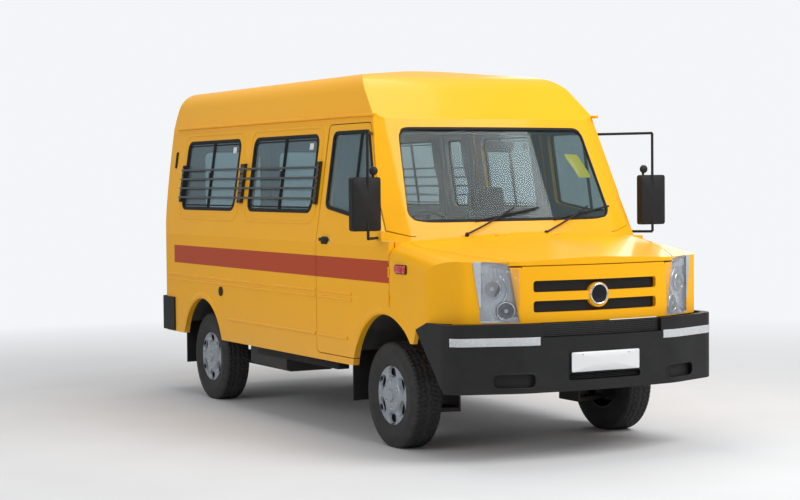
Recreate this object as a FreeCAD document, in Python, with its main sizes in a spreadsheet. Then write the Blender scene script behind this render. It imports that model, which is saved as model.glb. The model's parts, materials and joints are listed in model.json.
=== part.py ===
import math
import os

import FreeCAD
import Part
import Sketcher
from FreeCAD import Vector

# School bus, van bodied, right hand drive. Millimetres, +X forward, +Y left, +Z up.
# The origin is on the ground under the middle of the vehicle.

doc = FreeCAD.newDocument("school_bus")
sheet = doc.addObject("Spreadsheet::Sheet", "sizes")


class Size:
    """A length with its value and the sheet expression that gives it."""

    def __init__(self, mm, text):
        self.mm = float(mm)
        self.text = text

    def _join(self, other, sign, mm, swap=False):
        other = other if isinstance(other, Size) else Size(other, repr(other))
        pair = (other.text, self.text) if swap else (self.text, other.text)
        return Size(mm, "(%s %s %s)" % (pair[0], sign, pair[1]))

    def __add__(self, other):
        return self._join(other, "+", self.mm + number(other))

    def __radd__(self, other):
        return self._join(other, "+", number(other) + self.mm, True)

    def __sub__(self, other):
        return self._join(other, "-", self.mm - number(other))

    def __rsub__(self, other):
        return self._join(other, "-", number(other) - self.mm, True)

    def __mul__(self, other):
        return self._join(other, "*", self.mm * number(other))

    def __rmul__(self, other):
        return self._join(other, "*", number(other) * self.mm, True)

    def __truediv__(self, other):
        return self._join(other, "/", self.mm / number(other))

    def __neg__(self):
        return Size(-self.mm, "(0 - %s)" % self.text)


def number(value):
    """The plain number behind a size or a number."""
    return value.mm if isinstance(value, Size) else float(value)


class Sizes:
    """The driving dimensions: each is a cell of the sheet with an alias."""

    row = 0

    def section(self, **values):
        for name, mm in values.items():
            self.row += 1
            sheet.set("A%d" % self.row, name)
            sheet.set("B%d" % self.row, str(mm))
            sheet.setAlias("B%d" % self.row, name)
            setattr(self, name, Size(mm, "sizes." + name))


s = Sizes()
# whole vehicle
s.section(
    wheelbase=3050, front_axle_x=1415, nose_x=2459, bumper_nose_x=2535, rear_face_x=-2485,
    half_width=987.5, sill_z=502, waist_z=1300, gutter_z=2157, gutter_half_width=864,
    roof_top_z=2515, overrun=30, panel_gap=6, seat_gap=0.3)
# cab and cabin shell
s.section(
    wall=45, roof_wall=40, rear_wall=45, shut_line_x=1555, firewall=55, split_y=760,
    rear_corner_radius=120, roof_shoulder_y=790, roof_shoulder_z=2440, roof_shoulder_radius=170,
    roof_crown_radius=2600,
    roof_front_x=1120, roof_brow_x=800, roof_brow_z=2425, roof_brow_radius=500,
    roof_rear_drop=60, roof_rear_radius=180)
# windscreen
s.section(
    screen_base_x=1500, screen_base_z=1400, screen_top_x=1190, screen_top_z=2080,
    screen_foot_z=1330, screen_bulge=55, screen_crown=32, screen_bow_radius=5000, pillar_y=800,
    pillar_radius=90, pillar_back=100, header_z=1600,
    screen_wall=34, screen_glass=6, screen_glass_inset=8, glass_low_z=1455, glass_top_z=2062,
    glass_low_y=790, glass_top_y=718, glass_corner=70)
# bonnet, wings and nose
s.section(
    bonnet_rear_z=1352, bonnet_front_z=1215, wing_shoulder_z=1262, wing_shoulder_y=905,
    wing_shoulder_radius=95, bonnet_crown=24, crown_round=2500, front_wall=30,
    nose_bend_y=560, nose_bend_x=2402, nose_bend_radius=420, corner_y=880, corner_x=2262,
    corner_radius=130, nose_end_x=2040, nose_crown_radius=2400, nose_low_z=850,
    bonnet_rear_y=872, bonnet_mid_x=2130, bonnet_mid_y=742, bonnet_front_y=560,
    bonnet_cut_z=1150, bonnet_straight=150, bonnet_side_gap=7, bonnet_bevel=10,
    bonnet_bevel_z=1353, bonnet_hinge_z=1356, scuttle_x=1613)
# grille panel and its openings
s.section(
    grille_half=528, grille_top_z=1192, mouth_half=455, mouth_low_z=911,
    mouth_split_low=981, mouth_split_high=1034, mouth_top_z=1104, mouth_corner=18,
    mesh_plate=8, badge_radius=76)
# head lamps
s.section(lamp_inner_y=534, lamp_outer_y=775, lamp_low_z=853, lamp_high_z=1228,
          lamp_corner=24)
# wheel arches
s.section(
    front_arch_x=1475, front_arch_z=420, front_arch_radius=450, front_house_radius=470,
    rear_arch_x=-1610, rear_arch_z=400, rear_arch_radius=405, house_inner_y=500, rear_house_y=655,
    house_wall=12, arch_lip_y=930)
# floor
s.section(floor_z=640, floor_thick=40)
# doors
s.section(
    door_rear_x=479, door_top_z=2107, door_low_z=545, door_front_top_x=1105, door_front_mid_x=1428,
    door_front_mid_z=1400, door_shoulder_z=1330, door_corner=45, door_bevel=26,
    door_window_low_z=1545, door_window_dip_z=1490, door_window_top_z=2045, door_window_rear_x=580,
    door_window_front_x=1095, door_window_nose_x=1335, door_window_dip_x=1000,
    door_window_corner=40, entry_rear_x=-470, entry_front_x=420, entry_low_z=545,
    entry_window_margin=95, rear_door_half=700, rear_door_low_z=650, rear_door_top_z=2110,
    rear_window_low_z=1480, rear_window_top_z=1980, rear_window_inner_y=75, rear_window_outer_y=610)
# side windows
s.section(
    window_low_z=1510, window_top_z=2035, window_corner=60, window_a_rear=-2090,
    window_a_front=-1030, window_b_rear=-757, window_b_front=340, window_c_rear=-2090,
    window_c_front=-1030, window_d_rear=-930, window_d_front=-560, side_glass=6,
    side_glass_inset=8)
# hinges
s.section(hinge_barrel=8, hinge_pin=4, pin_clearance=0.2, hinge_leaf=36, hinge_end=16, barrel_gap=1,
          hinge_notch=13.5, hinge_low_z=975, hinge_high_z=1140, entry_hinge_low_z=700,
          entry_hinge_high_z=1180, rear_hinge_low_z=900, rear_hinge_high_z=1190,
          bonnet_hinge_y=200)
# wheels and tyres
s.section(
    wheel_z=337, tyre_radius=345, tyre_width=212, tread_width=176, tyre_shoulder=22, bead_radius=192,
    track_half=812, rim_thick=9, cover_radius=209, cover_out=95,
    cover_dish=26, cover_thick=8, hub_radius=52, hub_length=70, spindle_radius=20,
    spindle_clearance=0.2, slot_count=6, slot_radius=15, slot_ring=128)
# knuckles and front suspension
s.section(
    kingpin_y=735, kingpin_radius=12, kingpin_clearance=0.2, knuckle_half=34, knuckle_low_z=242,
    knuckle_high_z=432, drum_radius=138, drum_inner_y=772, drum_thick=38, arm_thick=26,
    arm_tip_half=30, arm_root_half=120, arm_root_y=430, boss_radius=26, arm_gap=1, strut_radius=26,
    strut_y=560)
# chassis
s.section(
    rail_y=400, rail_width=60, rail_low_z=452, rail_high_z=560, rail_wall=6, rail_rear_x=-2380,
    rail_front_x=2330, cross_width=80, cross_low_z=470, body_mount_z=600, tow_eye_x=2330,
    tow_eye_radius=26, tow_bore_radius=14, tow_eye_thick=20, tow_eye_y=408, tow_eye_z=506)
# rear axle and springs
s.section(
    axle_tube=38, axle_half=690, diff_radius=125, diff_width=150, spring_y=530, spring_width=60,
    spring_thick=30, spring_half=600, spring_low_z=262, spring_rise=130,
    hanger_length=60, rear_drum_inner=702)
# driveline, exhaust and tank
s.section(
    engine_low_z=455, engine_high_z=1060, engine_rear_x=1600, engine_front_x=2190,
    engine_half=250, engine_mount_z=560, shaft_radius=35, shaft_z=380, gearbox_rear_x=1180,
    gearbox_half=120, gearbox_low_z=330, exhaust_radius=24, exhaust_y=300,
    exhaust_z=400, silencer_radius=85, silencer_rear_x=-700, silencer_front_x=-150,
    tank_rear_x=-950, tank_front_x=-300, tank_inner_y=470, tank_outer_y=860, tank_low_z=330,
    tank_high_z=565, tank_corner=40, strap_width=40, strap_thick=3, strap_wide=14)
# bumpers
s.section(
    bumper_low_z=432, bumper_wall=40, bumper_bend_x=2478, bumper_bend_y=560,
    bumper_bend_radius=420, bumper_corner_x=2315, bumper_corner_radius=150,
    bumper_side_y=992, bumper_end_x=1850, tail_top_x=2040,
    tail_bend_x=1900, tail_bend_z=800, tail_tip_x=1862, tail_tip_z=705, tail_low_x=2240,
    bumper_mouth_half=440, bumper_mouth_low_z=765, fog_inner_y=485, fog_outer_y=745,
    fog_low_z=462, fog_high_z=552, fog_corner=34, fog_depth=30, plate_seat_x=2516,
    plate_seat_half=262, plate_seat_low_z=540, plate_seat_high_z=674, intake_low_z=497,
    intake_high_z=538, intake_half=265, rear_bumper_x=-2535,
    rear_bumper_low_z=462, rear_bumper_high_z=612,
    rear_bumper_thick=50, rear_corner_low_z=510, rear_corner_high_z=782, rear_corner_y=735,
    rear_wrap_x=-2190, bumper_side_stand=14, stay_width=20)
# mirrors
s.section(
    mirror_x=1470, mirror_depth=45, mirror_inner_y=1010, mirror_outer_y=1215, mirror_low_z=1400,
    mirror_high_z=1742, mirror_corner=18, arm_radius=9, arm_foot_low_z=1352, arm_foot_high_z=2030,
    arm_foot_x=1380, arm_high_foot_x=1118, arm_y=1105)
# lamps at the rear, guards, wipers and flaps
s.section(
    tail_inner_y=745, tail_outer_y=850, tail_low_z=960, tail_high_z=1330, tail_thick=22,
    guard_bar=8, guard_pitch=72, guard_low_z=1600, guard_stand=26,
    guard_front_x=440, guard_strip=34, guard_strip_low_z=1560,
    guard_strip_high_z=1856, wiper_radius=6, wiper_lift=72, wiper_blade=9, flap_thick=8,
    flap_low_z=255, front_flap_x=925, rear_flap_x=-2085, flap_inner_y=690, flap_outer_y=935,
    cap_x=-1218, cap_z=878, cap_radius=36, cap_thick=8)
# inside
s.section(
    dash_rear_x=1150, dash_low_z=912, dash_high_z=1290, dash_brow_z=1345,
    dash_half=890, column_y=-390, column_x=1150, column_z=1215, column_length=230,
    column_radius=28, steering_radius=200, steering_rim=14, spoke_radius=11, steering_hub=52,
    steering_lean=26,
    front_seat_x=560, front_seat_y=430, front_seat_half=245, bench_half=330, bench_y=520,
    row_a_x=-180, row_b_x=-1000, row_c_x=-1800, cushion_long=450, cushion_thick=110,
    cushion_z=1010, back_thick=100, back_rake=95, back_tall=620, seat_corner=35, leg_width=50,
    leg_inset=60, curtain_thick=24, curtain_wide=170, curtain_low_z=1440, curtain_high_z=2075)

rear_axle_x = s.front_axle_x - s.wheelbase
RIGHT, LEFT = -1, 1
SIDE_NAMES = {RIGHT: "right", LEFT: "left"}

# Planes for outlines: the outline's own two axes and the way that it is extruded.
PLANES = {
    "XY": (Vector(1, 0, 0), Vector(0, 1, 0), Vector(0, 0, 1)),
    "XZ": (Vector(1, 0, 0), Vector(0, 0, 1), Vector(0, -1, 0)),
    "YZ": (Vector(0, 1, 0), Vector(0, 0, 1), Vector(1, 0, 0)),
}
PLANE_OFFSET = {"XY": "z", "XZ": "y", "YZ": "x"}


def bind(thing, **values):
    """Bind properties to sizes; a double underscore in a name stands for a dot."""
    for name, value in values.items():
        if isinstance(value, Size):
            thing.setExpression(name.replace("__", "."), value.text)
        elif "__" not in name:
            setattr(thing, name, value)


def place(thing, x=0, y=0, z=0):
    """Put an object at a point, with each coordinate bound to its size."""
    thing.Placement.Base = Vector(number(x), number(y), number(z))
    for axis, value in (("x", x), ("y", y), ("z", z)):
        if isinstance(value, Size):
            thing.setExpression("Placement.Base." + axis, value.text)
    return thing


def fill_sketch(sketch, corners):
    """Close an outline through corners (a, b) or (a, b, radius), each bound to its sizes."""
    count = len(corners)
    points = [Vector(number(c[0]), number(c[1]), 0) for c in corners]
    radii = [number(c[2]) if len(c) > 2 else 0.0 for c in corners]
    starts, ends, centres = [], [], []
    for i, point in enumerate(points):
        back = (points[i - 1] - point).normalize()
        ahead = (points[(i + 1) % count] - point).normalize()
        if not radii[i]:
            starts.append(point)
            ends.append(point)
            centres.append(None)
            continue
        half = back.getAngle(ahead) / 2
        bisector = (back + ahead).normalize()
        middle = point + bisector * (radii[i] / sin_of(half))
        reach = radii[i] * cos_of(half) / sin_of(half)
        ends.append(point + back * reach)
        starts.append(point + ahead * reach)
        centres.append(middle)
    lines = []
    for i in range(count):
        nxt = (i + 1) % count
        lines.append(sketch.addGeometry(Part.LineSegment(starts[i], ends[nxt]), False))
    rules, bound = [], []
    for i, corner in enumerate(corners):
        before, after = lines[i - 1], lines[i]
        if not radii[i]:
            rules.append(Sketcher.Constraint("Coincident", before, 2, after, 1))
            anchor, vertex = after, 1
        else:
            middle = centres[i]
            bulge = middle + (points[i] - middle).normalize() * radii[i]
            arc = sketch.addGeometry(Part.Arc(ends[i], bulge, starts[i]), False)
            turn = (ends[i] - middle).cross(starts[i] - middle).z
            first, last = (1, 2) if turn > 0 else (2, 1)
            anchor = sketch.addGeometry(Part.Point(points[i]), True)
            vertex = 1
            rules.append(Sketcher.Constraint("Tangent", before, 2, arc, first))
            rules.append(Sketcher.Constraint("Tangent", arc, last, after, 1))
            rules.append(Sketcher.Constraint("PointOnObject", anchor, 1, before))
            rules.append(Sketcher.Constraint("PointOnObject", anchor, 1, after))
            rules.append(Sketcher.Constraint("Radius", arc, radii[i]))
            bound.append((len(rules) - 1, corner[2]))
        for kind, value in (("DistanceX", corner[0]), ("DistanceY", corner[1])):
            rules.append(Sketcher.Constraint(kind, anchor, vertex, number(value)))
            bound.append((len(rules) - 1, value))
    sketch.addConstraint(rules)
    for index, value in bound:
        if isinstance(value, Size):
            sketch.setExpression("Constraints[%d]" % index, value.text)
    return sketch


def sin_of(angle):
    """Sine of an angle in radians."""
    return Vector(1, 0, 0).cross(rotated(angle)).z


def cos_of(angle):
    """Cosine of an angle in radians."""
    return Vector(1, 0, 0).dot(rotated(angle))


def rotated(angle):
    """The unit vector at an angle in radians from +X."""
    turn = FreeCAD.Rotation()
    turn.Axis = Vector(0, 0, 1)
    turn.Angle = angle
    return turn.multVec(Vector(1, 0, 0))


def outline(name, plane, corners, offset=0):
    """A sketch in one of the main planes, moved along the plane's normal axis."""
    sketch = doc.addObject("Sketcher::SketchObject", name)
    across, up, normal = PLANES[plane]
    turn = FreeCAD.Rotation(across, up, normal, "ZXY")
    sketch.Placement = FreeCAD.Placement(Vector(0, 0, 0), turn)
    fill_sketch(sketch, corners)
    where = {PLANE_OFFSET[plane]: offset}
    return place(sketch, **where)


def prism(name, plane, corners, low, high, slope=None):
    """An outline carried from low to high along the third axis, leaning by slope if given."""
    profile = outline(name + "_outline", plane, corners, low)
    solid = doc.addObject("Part::Extrusion", name)
    solid.Base = profile
    solid.DirMode = "Custom"
    solid.Solid = True
    axis = PLANE_OFFSET[plane]
    travel = {axis: high - low}
    if slope:
        travel.update(slope)
    solid.Dir = Vector(*[number(travel.get(k, 0)) for k in "xyz"])
    for key, value in travel.items():
        if isinstance(value, Size):
            solid.setExpression("Dir." + key, value.text)
    return solid


def box(name, x, y, z):
    """A block between two values on each axis."""
    solid = doc.addObject("Part::Box", name)
    bind(solid, Length=x[1] - x[0], Width=y[1] - y[0], Height=z[1] - z[0])
    return place(solid, x[0], y[0], z[0])


TURNS = {
    "x": FreeCAD.Rotation(Vector(0, 1, 0), 90),
    "y": FreeCAD.Rotation(Vector(1, 0, 0), -90),
    "z": FreeCAD.Rotation(),
}


def rod(name, axis, start, end, radius, at):
    """A round bar along one axis from start to end; at gives its other two coordinates."""
    solid = doc.addObject("Part::Cylinder", name)
    bind(solid, Radius=radius, Height=end - start)
    solid.Placement.Rotation = TURNS[axis]
    where = dict(zip([k for k in "xyz" if k != axis], at))
    where[axis] = start
    return place(solid, **where)


def fuse(name, parts):
    """Several solids joined into one."""
    joined = doc.addObject("Part::MultiFuse", name)
    joined.Shapes = parts
    joined.Refine = True
    return joined


def cut(name, base, tool):
    """A solid with another taken away."""
    result = doc.addObject("Part::Cut", name)
    result.Base = base
    result.Tool = tool
    return result


def common(name, first, second):
    """What two solids share."""
    result = doc.addObject("Part::Common", name)
    result.Base = first
    result.Tool = second
    return result


def group(name, parts):
    """Solids that don't touch, kept side by side."""
    held = doc.addObject("Part::Compound", name)
    held.Links = parts
    return held


subparts = []


def subpart(name, thing):
    """Name a finished piece; its label is its file name."""
    thing.Label = name
    subparts.append(thing)
    return thing


def across(low, high, side):
    """A span in Y on one side, given by its distances from the middle."""
    return (-high, -low) if side == RIGHT else (low, high)


# Shell of the cab and cabin. The same form is built twice, the second time smaller, for the hollow.
screen_slope = (s.screen_base_x - s.screen_top_x) / (s.screen_top_z - s.screen_base_z)
side_slope = (s.half_width - s.gutter_half_width) / (s.gutter_z - s.waist_z)


def wall_section(name, inset, top_inset, low, high, base):
    """Cross-section of the cabin, with upright lower sides, leaning upper sides and a high roof."""
    half = s.half_width - inset
    eaves = s.gutter_half_width - inset
    shoulder_y = s.roof_shoulder_y - inset
    shoulder_z = s.roof_shoulder_z - top_inset
    crown_z = s.roof_top_z - top_inset
    right = [(-half, base), (-half, s.waist_z), (-eaves, s.gutter_z),
             (-shoulder_y, shoulder_z, s.roof_shoulder_radius - top_inset)]
    left = [(shoulder_y, shoulder_z, s.roof_shoulder_radius - top_inset), (eaves, s.gutter_z),
            (half, s.waist_z), (half, base)]
    return prism(name, "YZ", right + [(0, crown_z, s.roof_crown_radius)] + left, low, high)


def cabin_form(name, inset, top_inset, rear_inset, front_x, screen_inset, base):
    """Section, rear plan, sloping windscreen and roof line shared by one closed form."""
    rear_x = s.rear_face_x + rear_inset
    section = wall_section(name + "_section", inset, top_inset, rear_x, front_x, base)
    top = s.roof_top_z + s.overrun
    half = s.half_width + s.overrun
    plan = prism(name + "_plan", "XY", [
        (rear_x, -(s.half_width - inset), s.rear_corner_radius - inset / 2),
        (front_x, -(s.half_width - inset)), (front_x, s.half_width - inset),
        (rear_x, s.half_width - inset, s.rear_corner_radius - inset / 2)], base, top)
    low_x = s.screen_base_x + screen_slope * (s.screen_base_z - base) - screen_inset
    screen = prism(name + "_screen", "XY", [
        (rear_x - s.half_width, -half), (low_x - s.pillar_back, -half),
        (low_x - s.pillar_radius / 4, -(s.pillar_y - screen_inset), s.pillar_radius),
        (low_x + s.screen_bulge, 0, s.screen_bow_radius),
        (low_x - s.pillar_radius / 4, s.pillar_y - screen_inset, s.pillar_radius),
        (low_x - s.pillar_back, half), (rear_x - s.half_width, half)],
        base, top, {"x": -screen_slope * (top - base)})
    brow = prism(name + "_brow", "XZ", [
        (rear_x, base), (front_x + s.overrun, base), (front_x + s.overrun, s.gutter_z - s.overrun),
        (s.roof_front_x - screen_inset + s.overrun, s.gutter_z - s.overrun),
        (s.roof_brow_x - screen_inset, s.roof_brow_z - top_inset, s.roof_brow_radius),
        (-s.overrun, top - top_inset),
        (rear_x + s.roof_rear_drop, top - top_inset, s.roof_rear_radius),
        (rear_x, s.roof_shoulder_z - s.roof_rear_radius)],
        half, -half)
    ahead = cut(name + "_ahead", box(name + "_ahead_box", (-s.overrun, front_x + s.half_width),
                                     (-half, half), (s.screen_foot_z - inset / 2, top)), screen)
    body = common(name + "_a", section, plan)
    body = cut(name + "_b", body, ahead)
    return common(name, body, brow)


outer = cabin_form("cab_outer", s.panel_gap * 0, s.panel_gap * 0, s.panel_gap * 0,
                   s.shut_line_x, s.panel_gap * 0, s.sill_z)
inner = cabin_form("cab_inner", s.wall, s.roof_wall, s.rear_wall,
                   s.shut_line_x - s.firewall, s.screen_wall, s.sill_z - s.overrun)
cab_shell = cut("cab_shell", outer, inner)


# Nose: bonnet, wings and grille panel come from one closed form, also built twice.
def nose_form(name, inset, base):
    """Section that falls towards the front, with a rounded plan."""
    rear_x = s.shut_line_x
    fall = s.bonnet_front_z - s.bonnet_rear_z
    half = s.half_width - inset
    top = s.bonnet_rear_z - inset
    section = prism(name + "_section", "YZ", [
        (-half, base), (-half, s.wing_shoulder_z - inset, s.wing_shoulder_radius),
        (-(s.wing_shoulder_y - inset), top - s.bonnet_crown, s.wing_shoulder_radius),
        (0, top + s.bonnet_crown, s.crown_round),
        (s.wing_shoulder_y - inset, top - s.bonnet_crown, s.wing_shoulder_radius),
        (half, s.wing_shoulder_z - inset, s.wing_shoulder_radius), (half, base)],
        rear_x, s.nose_x + s.overrun, {"z": fall})
    plan = prism(name + "_plan", "XY", [
        (rear_x, -half), (s.nose_end_x, -half, s.corner_radius),
        (s.corner_x - inset, -(s.corner_y - inset / 2), s.corner_radius),
        (s.nose_bend_x - inset, -s.nose_bend_y, s.nose_bend_radius),
        (s.nose_x - inset, 0, s.nose_crown_radius),
        (s.nose_bend_x - inset, s.nose_bend_y, s.nose_bend_radius),
        (s.corner_x - inset, s.corner_y - inset / 2, s.corner_radius),
        (s.nose_end_x, half, s.corner_radius), (rear_x, half)],
        base + fall - s.overrun, s.bonnet_rear_z + s.overrun * 2)
    return common(name, section, plan)


nose_outer = nose_form("nose_outer", s.panel_gap * 0, s.sill_z)
nose_inner = nose_form("nose_inner", s.front_wall, s.sill_z - s.overrun * 2)


def arch(name, side, x, z, radius, inner_y):
    """The round space for a wheel, open to the outside."""
    low, high = across(inner_y, s.half_width + s.overrun, side)
    return rod(name, "y", low, high, radius, (x, z))


def arches(name, side):
    """Front and rear wheel spaces on one side."""
    parts = [
        arch(name + "_front", side, s.front_arch_x, s.front_arch_z, s.front_arch_radius,
             s.house_inner_y),
        rod(name + "_house", "y", *across(s.house_inner_y, s.arch_lip_y, side),
            s.front_house_radius, (s.front_arch_x, s.front_arch_z)),
        arch(name + "_rear", side, s.rear_arch_x, s.rear_arch_z, s.rear_arch_radius,
             s.rear_house_y)]
    return fuse(name, parts)


wheel_space = {side: arches("wheel_space_" + SIDE_NAMES[side], side) for side in (RIGHT, LEFT)}
all_wheel_space = group("wheel_spaces", [wheel_space[RIGHT], wheel_space[LEFT]])

# Door openings and windows, as outlines in side view.
through = s.half_width + s.overrun
door_inner_y = s.split_y


def side_prism(name, side, corners, inner=door_inner_y):
    """A side-view outline carried through one side wall."""
    return prism(name, "XZ", corners, side * inner, side * through)


firewall_keep = {}
firewall_clear = {}
for side in (RIGHT, LEFT):
    for held, gap in ((firewall_keep, s.panel_gap * 0), (firewall_clear, s.panel_gap)):
        held[side] = box("firewall_%s_%d" % (SIDE_NAMES[side], number(gap)),
                         (s.shut_line_x - s.firewall - gap, s.shut_line_x + s.overrun),
                         across(door_inner_y - s.overrun, s.half_width - s.wall + gap, side),
                         (s.sill_z - s.overrun, s.door_shoulder_z))


def front_door_outline(gap):
    """Front door, cut to the windscreen pillar's slope; gap makes it smaller."""
    return [
        (s.door_rear_x + gap, s.door_low_z + gap, s.door_corner),
        (s.shut_line_x - gap, s.door_low_z + gap), (s.shut_line_x - gap, s.door_shoulder_z),
        (s.door_front_mid_x - gap, s.door_front_mid_z - gap),
        (s.door_front_top_x - gap, s.door_top_z - gap, s.door_corner),
        (s.door_rear_x + gap, s.door_top_z - gap, s.door_corner)]


def entry_door_outline(gap):
    """Passenger door behind the front one; gap makes it smaller."""
    return [
        (s.entry_rear_x + gap, s.entry_low_z + gap, s.door_corner),
        (s.entry_front_x - gap, s.entry_low_z + gap),
        (s.entry_front_x - gap, s.door_top_z - gap, s.door_corner),
        (s.entry_rear_x + gap, s.door_top_z - gap, s.door_corner)]


front_window = [
    (s.door_window_rear_x, s.door_window_low_z, s.door_window_corner),
    (s.door_window_dip_x, s.door_window_dip_z),
    (s.door_window_nose_x, s.door_window_dip_z, s.door_window_corner),
    (s.door_window_front_x, s.door_window_top_z, s.door_window_corner),
    (s.door_window_rear_x, s.door_window_top_z, s.door_window_corner)]


def window_outline(rear, front):
    """A side window with round corners."""
    return [(rear, s.window_low_z, s.window_corner), (front, s.window_low_z, s.window_corner),
            (front, s.window_top_z, s.window_corner), (rear, s.window_top_z, s.window_corner)]


entry_window = window_outline(s.entry_rear_x + s.entry_window_margin,
                              s.entry_front_x - s.entry_window_margin)
rear_door_outline = {
    side: [(side * s.panel_gap / 2, s.rear_door_low_z), (side * s.rear_door_half, s.rear_door_low_z),
           (side * s.rear_door_half, s.rear_door_top_z), (side * s.panel_gap / 2, s.rear_door_top_z)]
    for side in (RIGHT, LEFT)}
rear_window = {
    side: [(side * s.rear_window_inner_y, s.rear_window_low_z, s.window_corner),
           (side * s.rear_window_outer_y, s.rear_window_low_z, s.window_corner),
           (side * s.rear_window_outer_y, s.rear_window_top_z, s.window_corner),
           (side * s.rear_window_inner_y, s.rear_window_top_z, s.window_corner)]
    for side in (RIGHT, LEFT)}
rear_low_x = s.rear_face_x - s.overrun
rear_high_x = s.rear_face_x + s.rear_wall + s.rear_corner_radius

screen_outline = [
    (-s.glass_low_y, s.glass_low_z, s.glass_corner), (s.glass_low_y, s.glass_low_z, s.glass_corner),
    (s.glass_top_y, s.glass_top_z, s.glass_corner), (-s.glass_top_y, s.glass_top_z, s.glass_corner)]
screen_hole = prism("screen_hole", "YZ", screen_outline, s.screen_top_x - s.pillar_back * 2,
                    s.shut_line_x + s.overrun * 2)

side_windows = {
    RIGHT: [(s.window_a_rear, s.window_a_front), (s.window_b_rear, s.window_b_front)],
    LEFT: [(s.window_c_rear, s.window_c_front), (s.window_d_rear, s.window_d_front)]}
no_gap = s.panel_gap * 0


# Hinges: two barrels and a pin on the fixed side, one barrel with a bore on the moving side.
def hinge(name, axis, at, middle):
    """Fixed barrels with pin, moving barrel, and the notches that clear them."""
    half = s.hinge_leaf / 2
    end = s.hinge_end
    gap = s.barrel_gap
    low, high = middle - half, middle + half
    fixed = fuse(name + "_fixed", [
        rod(name + "_pin", axis, low - gap - end, high + gap + end, s.hinge_pin, at),
        rod(name + "_end_a", axis, low - gap - end, low - gap, s.hinge_barrel, at),
        rod(name + "_end_b", axis, high + gap, high + gap + end, s.hinge_barrel, at)])
    barrel = rod(name + "_barrel", axis, low, high, s.hinge_barrel, at)
    bore = rod(name + "_bore", axis, low - gap, high + gap, s.hinge_pin + s.pin_clearance, at)
    notch_fixed = rod(name + "_notch_fixed", axis, low - gap, high + gap, s.hinge_notch, at)
    notch_moving = group(name + "_notch_moving", [
        rod(name + "_notch_a", axis, low - gap - end - s.panel_gap, low - gap / 2,
            s.hinge_notch, at),
        rod(name + "_notch_b", axis, high + gap / 2, high + gap + end + s.panel_gap,
            s.hinge_notch, at)])
    return {"fixed": fixed, "barrel": barrel, "bore": bore, "cut_fixed": notch_fixed,
            "cut_moving": notch_moving}


def hinged(name, leaf, hinges):
    """A leaf with its barrels added, and cleared round the fixed ones."""
    for i, one in enumerate(hinges):
        leaf = cut("%s_clear_%d" % (name, i), leaf, one["cut_moving"])
        leaf = fuse("%s_barrel_%d" % (name, i), [leaf, one["barrel"]])
        leaf = cut("%s_bored_%d" % (name, i), leaf, one["bore"])
    return leaf


def hung_on(name, panel, hinges):
    """A fixed panel with the hinges' pins and end barrels."""
    for i, one in enumerate(hinges):
        panel = cut("%s_notch_%d" % (name, i), panel, one["cut_fixed"])
        panel = fuse("%s_hinge_%d" % (name, i), [panel, one["fixed"]])
    return panel


front_hinges = {
    side: [hinge("front_hinge_%s_%d" % (SIDE_NAMES[side], i), "z",
                 (s.shut_line_x - s.panel_gap, side * s.half_width), z)
           for i, z in enumerate((s.hinge_low_z, s.hinge_high_z))]
    for side in (RIGHT, LEFT)}
entry_hinges = [hinge("entry_hinge_%d" % i, "z", (s.entry_front_x - s.panel_gap, s.half_width), z)
                for i, z in enumerate((s.entry_hinge_low_z, s.entry_hinge_high_z))]
rear_hinges = {
    side: [hinge("rear_hinge_%s_%d" % (SIDE_NAMES[side], i), "z",
                 (s.rear_face_x, side * s.rear_door_half), z)
           for i, z in enumerate((s.rear_hinge_low_z, s.rear_hinge_high_z))]
    for side in (RIGHT, LEFT)}
bonnet_hinges = [hinge("bonnet_hinge_%d" % i, "y", (s.scuttle_x + s.panel_gap, s.bonnet_hinge_z),
                       y) for i, y in enumerate((-s.bonnet_hinge_y, s.bonnet_hinge_y))]

# Side walls, rear frame, windscreen frame and roof are cut from the shell.
upper_space = s.roof_top_z + s.overrun
side_zone = {
    side: box("side_zone_" + SIDE_NAMES[side], (s.rear_face_x - s.overrun, s.shut_line_x),
              across(s.split_y, through, side), (s.sill_z, s.gutter_z))
    for side in (RIGHT, LEFT)}


def side_panel(side):
    """One side wall, with door opening, windows, wheel openings and sill."""
    tag = SIDE_NAMES[side]
    wall = common("side_wall_" + tag, cab_shell, side_zone[side])
    door_hole = cut("door_hole_" + tag,
                    side_prism("door_through_" + tag, side, front_door_outline(no_gap)),
                    firewall_keep[side])
    tools = [door_hole, wheel_space[side], screen_hole]
    for i, (rear, front) in enumerate(side_windows[side]):
        tools.append(side_prism("window_hole_%s_%d" % (tag, i), side, window_outline(rear, front)))
    if side == LEFT:
        tools.append(side_prism("entry_hole", side, entry_door_outline(no_gap)))
    panel = cut("side_open_" + tag, wall, group("side_tools_" + tag, tools))
    if side == LEFT:
        panel = hung_on("side_left", panel, entry_hinges)
    return panel


for side in (RIGHT, LEFT):
    subpart("side_panel_" + SIDE_NAMES[side], side_panel(side))

rear_zone = box("rear_zone", (rear_low_x, rear_high_x), (-s.split_y, s.split_y),
                (s.sill_z, s.gutter_z))
rear_hole = prism("rear_hole", "YZ", [
    (-s.rear_door_half, s.rear_door_low_z - s.panel_gap),
    (s.rear_door_half, s.rear_door_low_z - s.panel_gap),
    (s.rear_door_half, s.rear_door_top_z + s.panel_gap),
    (-s.rear_door_half, s.rear_door_top_z + s.panel_gap)], rear_low_x, rear_high_x)
rear_frame = cut("rear_frame_open", common("rear_frame_wall", cab_shell, rear_zone), rear_hole)
rear_frame = hung_on("rear_frame", rear_frame, rear_hinges[RIGHT] + rear_hinges[LEFT])
subpart("rear_frame", rear_frame)

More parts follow.
